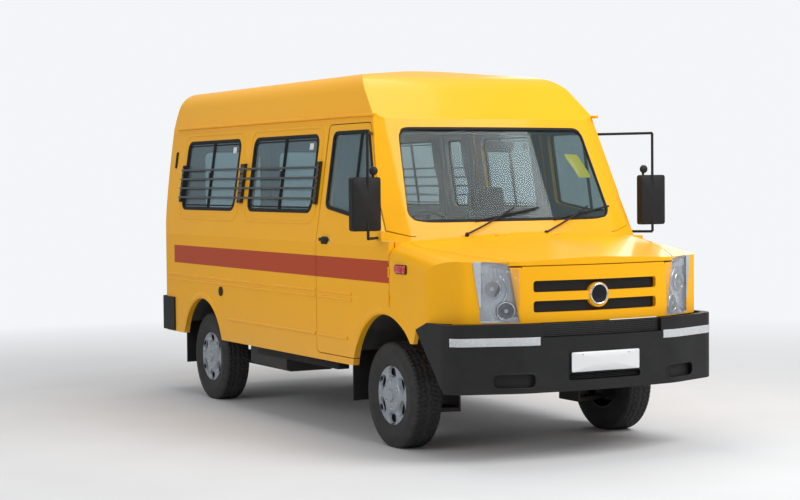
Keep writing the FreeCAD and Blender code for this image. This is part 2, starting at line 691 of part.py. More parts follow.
roof_zone = box("roof_zone", (s.rear_face_x - s.overrun, s.shut_line_x), (-through, through),
                (s.gutter_z, upper_space))
gutters = [
    box("gutter_" + SIDE_NAMES[side],
        (s.rear_face_x + s.rear_corner_radius, s.roof_front_x - s.pillar_radius * 2),
        across(s.gutter_half_width - s.wall / 2, s.gutter_half_width + s.hinge_end, side),
        (s.gutter_z, s.gutter_z + s.hinge_barrel)) for side in (RIGHT, LEFT)]
header_zone = box("header_zone", (s.screen_top_x - s.pillar_back * 2, s.shut_line_x),
                  (-s.split_y, s.split_y), (s.header_z, s.gutter_z))
header = cut("header", common("header_wall", cab_shell, header_zone), screen_hole)
roof = fuse("roof_body", [common("roof_shell", cab_shell, roof_zone), header] + gutters)
subpart("roof_panel", roof)

cowl_zone = box("cowl_zone", (s.screen_top_x - s.pillar_back * 2, s.shut_line_x + s.overrun),
                (-s.split_y, s.split_y), (s.sill_z, s.header_z))
nose_shell = cut("nose_shell", nose_outer, nose_inner)
scuttle = common("scuttle", nose_shell,
                 box("scuttle_zone", (s.shut_line_x, s.scuttle_x), (-s.split_y, s.split_y),
                     (s.bonnet_cut_z, s.bonnet_rear_z + s.overrun * 2)))
rail_slots = [box("rail_slot_" + SIDE_NAMES[side],
                  (s.shut_line_x - s.firewall - s.overrun, s.shut_line_x + s.overrun),
                  across(s.rail_y - s.panel_gap, s.rail_y + s.rail_width + s.panel_gap, side),
                  (s.sill_z - s.overrun, s.rail_high_z + s.panel_gap)) for side in (RIGHT, LEFT)]
cowl = cut("cowl_open", fuse("cowl_whole", [common("cowl_wall", cab_shell, cowl_zone), scuttle]),
           group("cowl_tools", [screen_hole, all_wheel_space] + rail_slots))
cowl = hung_on("cowl", cowl, bonnet_hinges)
subpart("cowl_panel", cowl)

# Floor with boxes over the rear wheels.
floor_slab = prism("floor_slab", "XY", [
    (s.rear_face_x + s.rear_wall, -(s.half_width - s.wall), s.rear_corner_radius),
    (s.shut_line_x - s.firewall, -(s.half_width - s.wall)),
    (s.shut_line_x - s.firewall, s.half_width - s.wall),
    (s.rear_face_x + s.rear_wall, s.half_width - s.wall, s.rear_corner_radius)],
    s.floor_z - s.floor_thick, s.floor_z)


def wheel_box(name, side, x, z, radius, inner_y, limit_x):
    """Half-round cover over a wheel space, standing on the floor."""
    low, high = across(inner_y - s.house_wall, s.half_width - s.wall, side)
    skin = rod(name + "_skin", "y", low, high, radius + s.house_wall, (x, z))
    room = box(name + "_room", (x - radius - s.overrun, limit_x), (low, high),
               (s.floor_z - s.floor_thick, z + radius + s.overrun))
    return common(name, skin, room)


boxes = []
for side in (RIGHT, LEFT):
    tag = SIDE_NAMES[side]
    boxes.append(wheel_box("rear_box_" + tag, side, s.rear_arch_x, s.rear_arch_z,
                           s.rear_arch_radius, s.rear_house_y,
                           s.rear_arch_x + s.rear_arch_radius + s.overrun))
    boxes.append(wheel_box("front_box_" + tag, side, s.front_arch_x, s.front_arch_z,
                           s.front_house_radius, s.house_inner_y, s.shut_line_x - s.firewall))
door_edges = []
for name, side, rear, front in (("driver", RIGHT, s.door_rear_x, s.shut_line_x),
                                ("front_passenger", LEFT, s.door_rear_x, s.shut_line_x),
                                ("entry", LEFT, s.entry_rear_x, s.entry_front_x)):
    door_edges.append(box("floor_edge_" + name, (rear, front),
                          across(s.half_width - s.wall - s.panel_gap, through, side),
                          (s.sill_z, s.floor_z + s.front_house_radius)))
floor = cut("floor_open", fuse("floor_whole", [floor_slab] + boxes),
            group("floor_tools", [all_wheel_space] + door_edges))
subpart("floor_pan", floor)


# Wings, grille panel, lamps and bonnet are cut from the nose.
def bonnet_outline(gap, side_gap):
    """Bonnet in plan, tapering to the nose; gap makes it smaller."""
    rear = s.scuttle_x + gap
    front = s.nose_x + s.overrun
    straight = s.scuttle_x + s.bonnet_straight
    return [(rear, -(s.bonnet_rear_y - side_gap)), (straight, -(s.bonnet_rear_y - side_gap)),
            (s.bonnet_mid_x, -(s.bonnet_mid_y - side_gap)),
            (front, -(s.bonnet_front_y - side_gap)), (front, s.bonnet_front_y - side_gap),
            (s.bonnet_mid_x, s.bonnet_mid_y - side_gap),
            (straight, s.bonnet_rear_y - side_gap), (rear, s.bonnet_rear_y - side_gap)]


bonnet_high = s.bonnet_rear_z + s.overrun * 2
bonnet_hole = prism("bonnet_hole", "XY", bonnet_outline(no_gap, no_gap), s.bonnet_cut_z + s.overrun,
                    bonnet_high)
bonnet_form = prism("bonnet_form", "XY", bonnet_outline(s.panel_gap, s.bonnet_side_gap),
                    s.grille_top_z + s.panel_gap, bonnet_high)
bonnet_edge_x = s.scuttle_x + s.panel_gap
bonnet_bevel = prism("bonnet_bevel", "XZ", [
    (bonnet_edge_x - s.overrun, s.bonnet_bevel_z - s.overrun), (bonnet_edge_x, s.bonnet_bevel_z),
    (bonnet_edge_x + s.bonnet_bevel * 3, s.bonnet_bevel_z + s.bonnet_bevel * 3),
    (bonnet_edge_x - s.overrun, s.bonnet_bevel_z + s.bonnet_bevel * 3)], through, -through)
bonnet = cut("bonnet_rolled", common("bonnet_skin", nose_shell, bonnet_form), bonnet_bevel)
subpart("bonnet", hinged("bonnet", bonnet, bonnet_hinges))


def lamp_outline(side, grow):
    """Head lamp in front view, upright beside the grille."""
    return [(side * (s.lamp_inner_y - grow), s.lamp_low_z - grow, s.lamp_corner),
            (side * (s.lamp_outer_y + grow), s.lamp_low_z - grow, s.lamp_corner),
            (side * (s.lamp_outer_y + grow), s.lamp_high_z + grow, s.lamp_corner),
            (side * (s.lamp_inner_y - grow), s.lamp_high_z - s.lamp_corner + grow, s.lamp_corner)]


lamp_rear_x = s.nose_end_x
lamps = []
lamp_holes = []
for side in (RIGHT, LEFT):
    tag = SIDE_NAMES[side]
    lamp_holes.append(prism("lamp_hole_" + tag, "YZ", lamp_outline(side, no_gap), lamp_rear_x,
                            s.nose_x + s.overrun))
    form = prism("lamp_form_" + tag, "YZ", lamp_outline(side, -s.seat_gap), lamp_rear_x,
                 s.nose_x + s.overrun)
    lamps.append(cut("lamp_" + tag, common("lamp_shell_" + tag, nose_shell, form), bonnet_hole))
subpart("headlamps", group("headlamp_pair", lamps))

grille_zone = box("grille_zone", (s.nose_end_x, s.nose_x + s.overrun),
                  (-s.grille_half, s.grille_half), (s.nose_low_z, s.grille_top_z))
mouth_holes = [
    prism("mouth_%d" % i, "YZ", [
        (-s.mouth_half, low, s.mouth_corner), (s.mouth_half, low, s.mouth_corner),
        (s.mouth_half, high, s.mouth_corner), (-s.mouth_half, high, s.mouth_corner)],
        s.nose_end_x, s.nose_x + s.overrun)
    for i, (low, high) in enumerate(((s.mouth_low_z, s.mouth_split_low),
                                     (s.mouth_split_high, s.mouth_top_z)))]
badge_z = (s.mouth_split_low + s.mouth_split_high) / 2
badge = common("badge_face", rod("badge", "x", s.nose_bend_x, s.nose_x + s.overrun, s.badge_radius,
                                 (0, badge_z)),
               nose_shell)
grille = fuse("grille_face", [
    cut("grille_open", common("grille_wall", nose_shell, grille_zone), group("mouths", mouth_holes)),
    badge])
subpart("grille_panel", grille)
mesh = common("mesh_sheet", nose_inner,
              box("mesh_zone", (s.nose_end_x, s.nose_x), (-s.grille_half, s.grille_half),
                  (s.nose_low_z, s.grille_top_z - s.overrun / 2)))
mesh_back = prism("mesh_back", "XY", [
    (s.nose_end_x - s.overrun, -through), (s.nose_bend_x - s.front_wall - s.mesh_plate, -s.nose_bend_y,
                                           s.nose_bend_radius),
    (s.nose_x - s.front_wall - s.mesh_plate, 0, s.nose_crown_radius),
    (s.nose_bend_x - s.front_wall - s.mesh_plate, s.nose_bend_y, s.nose_bend_radius),
    (s.nose_end_x - s.overrun, through)], s.nose_low_z - s.overrun, bonnet_high)
subpart("grille_mesh", cut("mesh_plate_cut", mesh, mesh_back))

wings = {}
for side in (RIGHT, LEFT):
    tag = SIDE_NAMES[side]
    zone = box("wing_zone_" + tag, (s.shut_line_x, s.nose_x + s.overrun),
               across(s.grille_half, through, side), (s.sill_z, bonnet_high))
    low_cut = prism("wing_low_" + tag, "XZ", [
        (s.front_arch_x, s.sill_z - s.overrun), (s.nose_x + s.overrun, s.sill_z - s.overrun),
        (s.nose_x + s.overrun, s.nose_low_z), (s.tail_top_x, s.nose_low_z),
        (s.tail_bend_x, s.tail_bend_z), (s.tail_tip_x, s.tail_tip_z), (s.front_arch_x, s.tail_tip_z)],
        no_gap, side * through)
    corner = box("wing_scuttle_" + tag, (s.shut_line_x - s.overrun, s.scuttle_x),
                 across(no_gap, s.split_y, side), (s.sill_z, bonnet_high))
    tools = group("wing_tools_" + tag, [bonnet_hole, lamp_holes[0 if side == RIGHT else 1],
                                        wheel_space[side]])
    wing = cut("wing_trim_" + tag, common("wing_skin_" + tag, nose_shell, zone), tools)
    wing = cut("wing_foot_" + tag, cut("wing_bare_" + tag, wing, low_cut), corner)
    wings[side] = subpart("wing_" + tag, hung_on("wing_" + tag, wing, front_hinges[side]))


# Doors are cut from the same shell as the walls, smaller by the gap.
def side_door(name, side, corners, window, hinge_set, rear_x):
    """A side door with its window cut and its rear edge bevelled to swing clear."""
    leaf = common(name + "_leaf", cab_shell, side_prism(name + "_form", side, corners))
    bevel = prism(name + "_bevel", "XY", [
        (rear_x - s.overrun, side * s.half_width), (rear_x, side * s.half_width),
        (rear_x + s.door_bevel, side * door_inner_y), (rear_x - s.overrun, side * door_inner_y)],
        s.sill_z, s.gutter_z)
    tools = [side_prism(name + "_window", side, window), bevel]
    if hinge_set is not entry_hinges:
        tools += [wheel_space[side], firewall_clear[side]]
    return hinged(name, cut(name + "_open", leaf, group(name + "_tools", tools)), hinge_set)


for side, name in ((RIGHT, "driver_door"), (LEFT, "front_passenger_door")):
    subpart(name, side_door(name, side, front_door_outline(s.panel_gap), front_window,
                            front_hinges[side], s.door_rear_x + s.panel_gap))
subpart("entry_door", side_door("entry_door", LEFT, entry_door_outline(s.panel_gap), entry_window,
                                entry_hinges, s.entry_rear_x + s.panel_gap))
for side in (RIGHT, LEFT):
    name = "rear_door_" + SIDE_NAMES[side]
    leaf = common(name + "_leaf", cab_shell,
                  prism(name + "_form", "YZ", rear_door_outline[side], rear_low_x, rear_high_x))
    bevel = prism(name + "_bevel", "XY", [
        (s.rear_face_x, no_gap), (s.rear_face_x, side * s.panel_gap / 2),
        (rear_high_x, side * s.hinge_barrel * 2), (rear_high_x, no_gap)],
        s.rear_door_low_z, s.rear_door_top_z)
    hole = prism(name + "_window", "YZ", rear_window[side], rear_low_x, rear_high_x)
    leaf = cut(name + "_open", leaf, group(name + "_tools", [bevel, hole]))
    subpart(name, hinged(name, leaf, rear_hinges[side]))

# Glass lies in thin layers inside the outer skin.
glass_layer = cut("glass_layer",
                  wall_section("glass_out", s.side_glass_inset, s.roof_wall, s.rear_face_x,
                               s.shut_line_x, s.sill_z),
                  wall_section("glass_in", s.side_glass_inset + s.side_glass, s.roof_wall,
                               s.rear_face_x - s.overrun, s.shut_line_x + s.overrun,
                               s.sill_z - s.overrun))
side_glass = []
for side in (RIGHT, LEFT):
    for i, (rear, front) in enumerate(side_windows[side]):
        tag = "%s_%d" % (SIDE_NAMES[side], i)
        side_glass.append(common("side_pane_" + tag, glass_layer,
                                 side_prism("pane_form_" + tag, side, window_outline(rear, front))))
subpart("side_glass", group("side_panes", side_glass))
for side, name, shape in ((RIGHT, "driver_door_glass", front_window),
                          (LEFT, "front_passenger_door_glass", front_window),
                          (LEFT, "entry_door_glass", entry_window)):
    subpart(name, common(name + "_pane", glass_layer, side_prism(name + "_form", side, shape)))
for side in (RIGHT, LEFT):
    name = "rear_door_%s_glass" % SIDE_NAMES[side]
    near = s.rear_face_x + s.side_glass_inset
    subpart(name, prism(name + "_pane", "YZ", rear_window[side], near, near + s.side_glass))
screen_out = cabin_form("screen_out", s.wall, s.roof_wall, s.rear_wall,
                        s.shut_line_x, s.screen_glass_inset, s.sill_z)
screen_in = cabin_form("screen_in", s.wall, s.roof_wall, s.rear_wall - s.overrun,
                       s.shut_line_x + s.overrun, s.screen_glass_inset + s.screen_glass,
                       s.sill_z - s.overrun)
subpart("windscreen", common("windscreen_pane", cut("screen_layer", screen_out, screen_in),
                             screen_hole))


# Chassis: two rails, cross members and towing eyes.
def rail(side):
    """One channel rail, open towards the middle."""
    tag = SIDE_NAMES[side]
    whole = box("rail_" + tag, (s.rail_rear_x, s.rail_front_x),
                across(s.rail_y, s.rail_y + s.rail_width, side), (s.rail_low_z, s.rail_high_z))
    room = box("rail_room_" + tag, (s.rail_rear_x - s.overrun, s.rail_front_x + s.overrun),
               across(s.rail_y - s.overrun, s.rail_y + s.rail_width - s.rail_wall, side),
               (s.rail_low_z + s.rail_wall, s.rail_high_z - s.rail_wall))
    return cut("rail_open_" + tag, whole, room)


cross_half = s.rail_y + s.rail_width - s.rail_wall
cross_members = []
for i, x in enumerate((s.rail_rear_x, s.silencer_rear_x - s.cross_width * 2,
                       s.gearbox_rear_x - s.cross_width * 3,
                       s.front_axle_x - s.cross_width / 2, s.rail_front_x - s.cross_width)):
    cross_members.append(box("cross_%d" % i, (x, x + s.cross_width), (-cross_half, cross_half),
                             (s.cross_low_z, s.rail_high_z - s.rail_wall)))
mounts = []
for side in (RIGHT, LEFT):
    for i, x in enumerate((s.rail_rear_x, rear_axle_x + s.spring_half + s.cross_width * 2,
                           s.gearbox_rear_x - s.cross_width * 3)):
        mounts.append(box("body_mount_%s_%d" % (SIDE_NAMES[side], i), (x, x + s.cross_width),
                          across(s.rail_y, s.rail_y + s.rail_width, side),
                          (s.rail_high_z, s.body_mount_z)))


def tow_eye(name):
    """A flat eye that lies on the front cross member beside the right rail, bored upright."""
    near = s.tow_eye_x - s.tow_eye_thick
    far = s.tow_eye_x + s.tow_eye_radius * 2
    middle = -s.tow_eye_y
    low = s.tow_eye_z - s.tow_eye_thick / 2
    high = s.tow_eye_z + s.tow_eye_thick / 2
    plate = box(name + "_plate", (near, far), (middle - s.tow_eye_radius, middle + s.tow_eye_radius),
                (low, high))
    round_end = rod(name + "_end", "z", low, high, s.tow_eye_radius, (far, middle))
    hole = rod(name + "_hole", "z", low - s.overrun, high + s.overrun, s.tow_bore_radius,
               (far, middle))
    return cut(name, fuse(name + "_whole", [plate, round_end]), hole)


chassis = fuse("chassis", [rail(RIGHT), rail(LEFT)] + cross_members + mounts
               + [tow_eye("tow_eye_front")])
subpart("chassis_frame", chassis)


# Front suspension: wishbones, kingpins and struts; the knuckles turn on the kingpins.
def wishbone(name, side, z):
    """A flat arm, wide at the rail and narrow at the kingpin."""
    root = side * (s.arm_root_y + s.rail_width / 2)
    tip = side * s.kingpin_y
    arm = prism(name, "XY", [
        (s.front_axle_x - s.arm_root_half, root), (s.front_axle_x + s.arm_root_half, root),
        (s.front_axle_x + s.arm_tip_half, tip), (s.front_axle_x - s.arm_tip_half, tip)],
        z, z + s.arm_thick)
    boss = rod(name + "_boss", "z", z, z + s.arm_thick, s.boss_radius, (s.front_axle_x, tip))
    return [arm, boss]


suspension = []
for side in (RIGHT, LEFT):
    tag = SIDE_NAMES[side]
    low = s.knuckle_low_z - s.arm_gap - s.arm_thick
    high = s.knuckle_high_z + s.arm_gap
    pin = rod("kingpin_" + tag, "z", low, high + s.arm_thick, s.kingpin_radius,
              (s.front_axle_x, side * s.kingpin_y))
    post = box("arm_post_" + tag, (s.front_axle_x - s.arm_root_half, s.front_axle_x + s.arm_root_half),
               across(s.rail_y + s.rail_width, s.arm_root_y + s.rail_width * 3 / 4, side),
               (low, high + s.arm_thick))
    strut = rod("strut_" + tag, "z", low + s.arm_thick, high, s.strut_radius,
                (s.front_axle_x, side * s.strut_y))
    suspension.append(fuse("suspension_" + tag, wishbone("lower_arm_" + tag, side, low)
                           + wishbone("upper_arm_" + tag, side, high) + [pin, post, strut]))
subpart("front_suspension", group("front_suspension_pair", suspension))

spindle_end = s.track_half + s.hub_length / 2 + s.cover_dish
for side in (RIGHT, LEFT):
    tag = SIDE_NAMES[side]
    x = s.front_axle_x
    body = box("knuckle_body_" + tag, (x - s.knuckle_half, x + s.knuckle_half),
               across(s.kingpin_y - s.knuckle_half, s.drum_inner_y, side),
               (s.knuckle_low_z, s.knuckle_high_z))
    drum = rod("front_drum_" + tag, "y", *across(s.drum_inner_y, s.drum_inner_y + s.drum_thick, side),
               s.drum_radius, (x, s.wheel_z))
    spindle = rod("spindle_" + tag, "y", *across(s.drum_inner_y, spindle_end, side),
                  s.spindle_radius, (x, s.wheel_z))
    hole = rod("kingpin_hole_" + tag, "z", s.knuckle_low_z - s.overrun, s.knuckle_high_z + s.overrun,
               s.kingpin_radius + s.kingpin_clearance, (x, side * s.kingpin_y))
    subpart("knuckle_" + tag, cut("knuckle_bored_" + tag,
                                  fuse("knuckle_whole_" + tag, [body, drum, spindle]), hole))

# Rear axle with its drums and spindles, leaf springs and their hangers.
axle_parts = [
    rod("axle_tube", "y", -s.axle_half, s.axle_half, s.axle_tube, (rear_axle_x, s.wheel_z)),
    rod("diff_case", "y", -s.diff_width / 2, s.diff_width / 2, s.diff_radius,
        (rear_axle_x, s.wheel_z)),
    rod("diff_nose", "x", rear_axle_x, rear_axle_x + s.diff_radius + s.cross_width,
        s.diff_width / 3, (0, s.wheel_z))]
for side in (RIGHT, LEFT):
    tag = SIDE_NAMES[side]
    axle_parts.append(rod("rear_drum_" + tag, "y",
                          *across(s.rear_drum_inner - s.axle_tube, s.drum_inner_y + s.drum_thick,
                                  side), s.drum_radius, (rear_axle_x, s.wheel_z)))
    axle_parts.append(rod("rear_spindle_" + tag, "y", *across(s.axle_half, spindle_end, side),
                          s.spindle_radius, (rear_axle_x, s.wheel_z)))
subpart("rear_axle", fuse("rear_axle_whole", axle_parts))

springs = []
for side in (RIGHT, LEFT):
    tag = SIDE_NAMES[side]
    span = across(s.spring_y - s.spring_width / 2, s.spring_y + s.spring_width / 2, side)
    flat = s.spring_width
    rear, front = rear_axle_x - s.spring_half, rear_axle_x + s.spring_half
    low, high = s.spring_low_z, s.spring_low_z + s.spring_rise
    leaf = prism("leaf_" + tag, "XZ", [
        (rear, high), (rear_axle_x - flat, low, s.spring_half), (rear_axle_x + flat, low, s.spring_half),
        (front, high), (front, high + s.spring_thick),
        (rear_axle_x + flat, low + s.spring_thick, s.spring_half),
        (rear_axle_x - flat, low + s.spring_thick, s.spring_half), (rear, high + s.spring_thick)],
        *span)
    hangers = []
    for i, x in enumerate((rear, front - s.hanger_length)):
        hangers.append(box("hanger_%s_%d" % (tag, i), (x, x + s.hanger_length),
                           across(s.rail_y + s.rail_width, s.spring_y + s.spring_width / 2, side),
                           (high + s.spring_thick / 2, s.rail_high_z - s.rail_wall)))
    clamp = box("spring_clamp_" + tag, (rear_axle_x - flat, rear_axle_x + flat), span,
                (low, s.wheel_z - s.axle_tube))
    springs.append(fuse("spring_" + tag, [leaf, clamp] + hangers))
subpart("leaf_springs", group("leaf_spring_pair", springs))

# Engine and gearbox as plain blocks, propeller shaft, exhaust and fuel tank.
engine = fuse("engine", [
    box("engine_case", (s.engine_rear_x, s.engine_front_x), (-s.engine_half, s.engine_half),
        (s.engine_low_z, s.engine_high_z)),
    box("engine_feet", (s.engine_rear_x + s.engine_half, s.engine_rear_x + s.engine_half
                        + s.cross_width), (-s.rail_y, s.rail_y), (s.rail_low_z + s.rail_wall,
                                                                  s.engine_mount_z - s.rail_wall)),
    box("gearbox", (s.gearbox_rear_x, s.engine_rear_x), (-s.gearbox_half, s.gearbox_half),
        (s.gearbox_low_z, s.cross_low_z))])
subpart("engine_block", engine)
shaft_rear = rear_axle_x + s.diff_radius + s.cross_width
subpart("propeller_shaft", rod("shaft", "x", shaft_rear, s.gearbox_rear_x, s.shaft_radius,
                               (0, s.shaft_z)))
silencer_y = s.exhaust_y - s.exhaust_radius
pipe_turn_x = s.silencer_rear_x - s.cross_width
exhaust = fuse("exhaust", [
    rod("exhaust_front", "x", s.silencer_front_x - s.overrun, s.engine_rear_x + s.overrun,
        s.exhaust_radius, (silencer_y, s.exhaust_z)),
    rod("silencer", "x", s.silencer_rear_x, s.silencer_front_x, s.silencer_radius,
        (silencer_y, s.exhaust_z)),
    box("exhaust_flange", (s.engine_rear_x, s.engine_rear_x + s.cross_width),
        (silencer_y - s.cross_width, silencer_y + s.exhaust_radius / 2),
        (s.exhaust_z, s.engine_low_z)),
    rod("exhaust_rear", "x", pipe_turn_x - s.overrun, s.silencer_rear_x + s.overrun,
        s.exhaust_radius, (silencer_y, s.exhaust_z)),
    rod("exhaust_side", "y", silencer_y, s.tank_outer_y + s.cross_width,
        s.exhaust_radius - s.strap_thick, (pipe_turn_x, s.exhaust_z)),
    box("exhaust_hanger", (pipe_turn_x - s.strap_wide, pipe_turn_x + s.strap_wide),
        (silencer_y, silencer_y + s.strap_thick), (s.exhaust_z, s.cross_low_z))])
subpart("exhaust", exhaust)
tank = prism("tank", "YZ", [
    (-s.tank_outer_y, s.tank_low_z, s.tank_corner), (-s.tank_inner_y, s.tank_low_z, s.tank_corner),
    (-s.tank_inner_y, s.tank_high_z, s.tank_corner), (-s.tank_outer_y, s.tank_high_z, s.tank_corner)],
    s.tank_rear_x, s.tank_front_x)
straps = []
strap_shares = (0.2, 0.8)
for i, share in enumerate(strap_shares):
    x = s.tank_rear_x + (s.tank_front_x - s.tank_rear_x) * share
    straps.append(box("tank_strap_%d" % i, (x, x + s.strap_width),
                      (-s.tank_inner_y - s.tank_corner, -(s.rail_y + s.rail_width)),
                      (s.tank_high_z - s.tank_corner * 2, s.tank_high_z - s.tank_corner)))
subpart("fuel_tank", fuse("fuel_tank_whole", [tank] + straps))


# Wheels: each tyre and wheel is a body of revolution about its own axle line.
def ring_body(name, corners, x, y, holes=None):
    """A revolved body about the wheel's own axle line, with a ring of slots if asked."""
    body = doc.addObject("PartDesign::Body", name)
    roles = {f.Role: f for f in body.Origin.OriginFeatures}
    profile = body.newObject("Sketcher::SketchObject", name + "_profile")
    profile.AttachmentSupport = (roles["XY_Plane"], [""])
    profile.MapMode = "FlatFace"
    fill_sketch(profile, corners)
    turned = body.newObject("PartDesign::Revolution", name + "_turned")
    turned.Profile = profile
    turned.ReferenceAxis = (roles["Y_Axis"], [""])
    turned.Angle = 360
    doc.recompute()
    if holes:
        radius, ring, count = holes
        plan = body.newObject("Sketcher::SketchObject", name + "_slot_plan")
        plan.AttachmentSupport = (roles["XZ_Plane"], [""])
        plan.MapMode = "FlatFace"
        hole = plan.addGeometry(Part.Circle(Vector(ring.mm, 0, 0), Vector(0, 0, 1), radius.mm), False)
        plan.addConstraint([Sketcher.Constraint("Radius", hole, radius.mm),
                            Sketcher.Constraint("DistanceX", hole, 3, ring.mm),
                            Sketcher.Constraint("DistanceY", hole, 3, 0.0)])
        plan.setExpression("Constraints[0]", radius.text)
        plan.setExpression("Constraints[1]", ring.text)
        slot = body.newObject("PartDesign::Pocket", name + "_slot")
        slot.Profile = plan
        slot.Type = 1
        slot.Midplane = True
        doc.recompute()
        slots = body.newObject("PartDesign::PolarPattern", name + "_slots")
        slots.Originals = [slot]
        slots.Axis = (roles["Y_Axis"], [""])
        slots.Angle = 360
        slots.setExpression("Occurrences", count.text)
        body.Tip = slots
    body.Placement.Base = Vector(number(x), number(y), number(s.wheel_z))
    for axis, value in (("x", x), ("y", y), ("z", s.wheel_z)):
        body.setExpression("Placement.Base." + axis, value.text)
    return body


def tyre_profile():
    """Half section of a tyre, with round shoulders and full side walls."""
    half = s.tyre_width / 2
    tread = s.tread_width / 2
    mid = (s.tyre_radius + s.bead_radius) / 2
    return [(s.bead_radius, -tread), (mid, -half, s.tyre_shoulder * 2),
            (s.tyre_radius, -tread, s.tyre_shoulder), (s.tyre_radius, tread, s.tyre_shoulder),
            (mid, half, s.tyre_shoulder * 2), (s.bead_radius, tread)]


def wheel_profile(side):
    """Section of a wheel: rim barrel, lip, dished face and hub."""
    half = s.tread_width / 2
    rim = s.bead_radius - s.seat_gap
    inner = rim - s.rim_thick
    bore = s.spindle_radius + s.spindle_clearance
    hub_out = spindle_end - s.track_half - s.cover_thick
    face = s.cover_out
    points = [(inner, -half), (rim, -half), (rim, half), (s.cover_radius, half + s.cover_thick / 2),
              (s.cover_radius, face + s.cover_thick / 4),
              (inner, face + s.cover_thick / 2),
              (s.slot_ring, face - s.cover_dish / 2), (s.hub_radius, face - s.cover_thick),
              (s.hub_radius - s.cover_thick, face), (bore, face), (bore, hub_out - s.hub_length / 2),
              (s.hub_radius, hub_out - s.hub_length / 2),
              (s.hub_radius, face - s.cover_thick * 3), (s.slot_ring, face - s.cover_dish),
              (inner, face - s.cover_dish)]
    return [(a, b * side) for a, b in points]


wheel_places = {"front_right": (s.front_axle_x, RIGHT), "front_left": (s.front_axle_x, LEFT),
                "rear_right": (rear_axle_x, RIGHT), "rear_left": (rear_axle_x, LEFT)}
for name, (x, side) in wheel_places.items():
    y = side * s.track_half
    subpart("tyre_" + name, ring_body("tyre_body_" + name, tyre_profile(), x, y))
    subpart("wheel_" + name, ring_body("wheel_body_" + name, wheel_profile(side), x, y,
                                       (s.slot_radius, s.slot_ring, s.slot_count)))


# Bumpers.
def bumper_form(name, inset, low, high):
    """Front bumper's plan, round at the corners and running back to the wheel arches."""
    side = s.bumper_side_y - inset
    return prism(name, "XY", [
        (s.bumper_end_x, -side), (s.bumper_corner_x - inset, -side, s.bumper_corner_radius),
        (s.bumper_bend_x - inset, -s.bumper_bend_y, s.bumper_bend_radius),
        (s.bumper_nose_x - inset, 0, s.nose_crown_radius),
        (s.bumper_bend_x - inset, s.bumper_bend_y, s.bumper_bend_radius),
        (s.bumper_corner_x - inset, side, s.bumper_corner_radius), (s.bumper_end_x, side)], low, high)


bumper_top = s.nose_low_z - s.seat_gap
bumper_shell = cut("bumper_shell", bumper_form("bumper_out", no_gap, s.bumper_low_z, bumper_top),
                   bumper_form("bumper_in", s.bumper_wall, s.bumper_low_z - s.overrun,
                               bumper_top + s.overrun))
recesses = [
    prism("bumper_mouth", "YZ", [
        (-s.bumper_mouth_half, s.bumper_mouth_low_z), (s.bumper_mouth_half, s.bumper_mouth_low_z),
        (s.bumper_mouth_half, s.nose_low_z + s.overrun),
        (-s.bumper_mouth_half, s.nose_low_z + s.overrun)],
        s.bumper_corner_x, s.bumper_nose_x + s.overrun),
    prism("bumper_intake", "YZ", [
        (-s.intake_half, s.intake_low_z, s.mouth_corner), (s.intake_half, s.intake_low_z, s.mouth_corner),
        (s.intake_half, s.intake_high_z, s.mouth_corner),
        (-s.intake_half, s.intake_high_z, s.mouth_corner)],
        s.bumper_corner_x, s.bumper_nose_x + s.overrun)]
for side in (RIGHT, LEFT):
    recesses.append(prism("fog_hole_" + SIDE_NAMES[side], "YZ", [
        (side * s.fog_inner_y, s.fog_low_z, s.fog_corner),
        (side * s.fog_outer_y, s.fog_low_z, s.fog_corner),
        (side * s.fog_outer_y, s.fog_high_z, s.fog_corner),
        (side * s.fog_inner_y, s.fog_high_z, s.fog_corner)],
        s.bumper_corner_x, s.bumper_nose_x + s.overrun))
recess_skin = cut("recess_skin", bumper_form("recess_out", -s.overrun, s.bumper_low_z, bumper_top
                                             + s.overrun),
                  bumper_form("recess_in", s.fog_depth, s.bumper_low_z - s.overrun,
                              bumper_top + s.overrun * 2))
bumper_tools = [
    common("bumper_recesses", group("recess_set", recesses), recess_skin),
    box("plate_seat", (s.plate_seat_x, s.bumper_nose_x), (-s.plate_seat_half, s.plate_seat_half),
        (s.plate_seat_low_z, s.plate_seat_high_z)),
    all_wheel_space,
    prism("bumper_tail", "XZ", [
        (s.front_arch_x, s.nose_low_z + s.overrun), (s.tail_top_x, s.nose_low_z + s.overrun),
        (s.tail_top_x, s.nose_low_z - s.seat_gap), (s.tail_bend_x, s.tail_bend_z - s.seat_gap),
        (s.tail_low_x, s.bumper_low_z), (s.tail_low_x, s.bumper_low_z - s.overrun),
        (s.front_arch_x, s.bumper_low_z - s.overrun)], through, -through)]
stays = [box("bumper_stay_" + SIDE_NAMES[side], (s.rail_front_x, s.bumper_bend_x - s.bumper_wall / 2),
             across(s.rail_y + s.rail_width - s.stay_width, s.rail_y + s.rail_width, side),
             (s.rail_low_z + s.rail_wall, s.rail_low_z + s.rail_wall + s.overrun))
         for side in (RIGHT, LEFT)]
bumper = fuse("bumper_whole", [cut("bumper_open", bumper_shell, group("bumper_tools", bumper_tools))]
              + stays)
subpart("front_bumper", bumper)

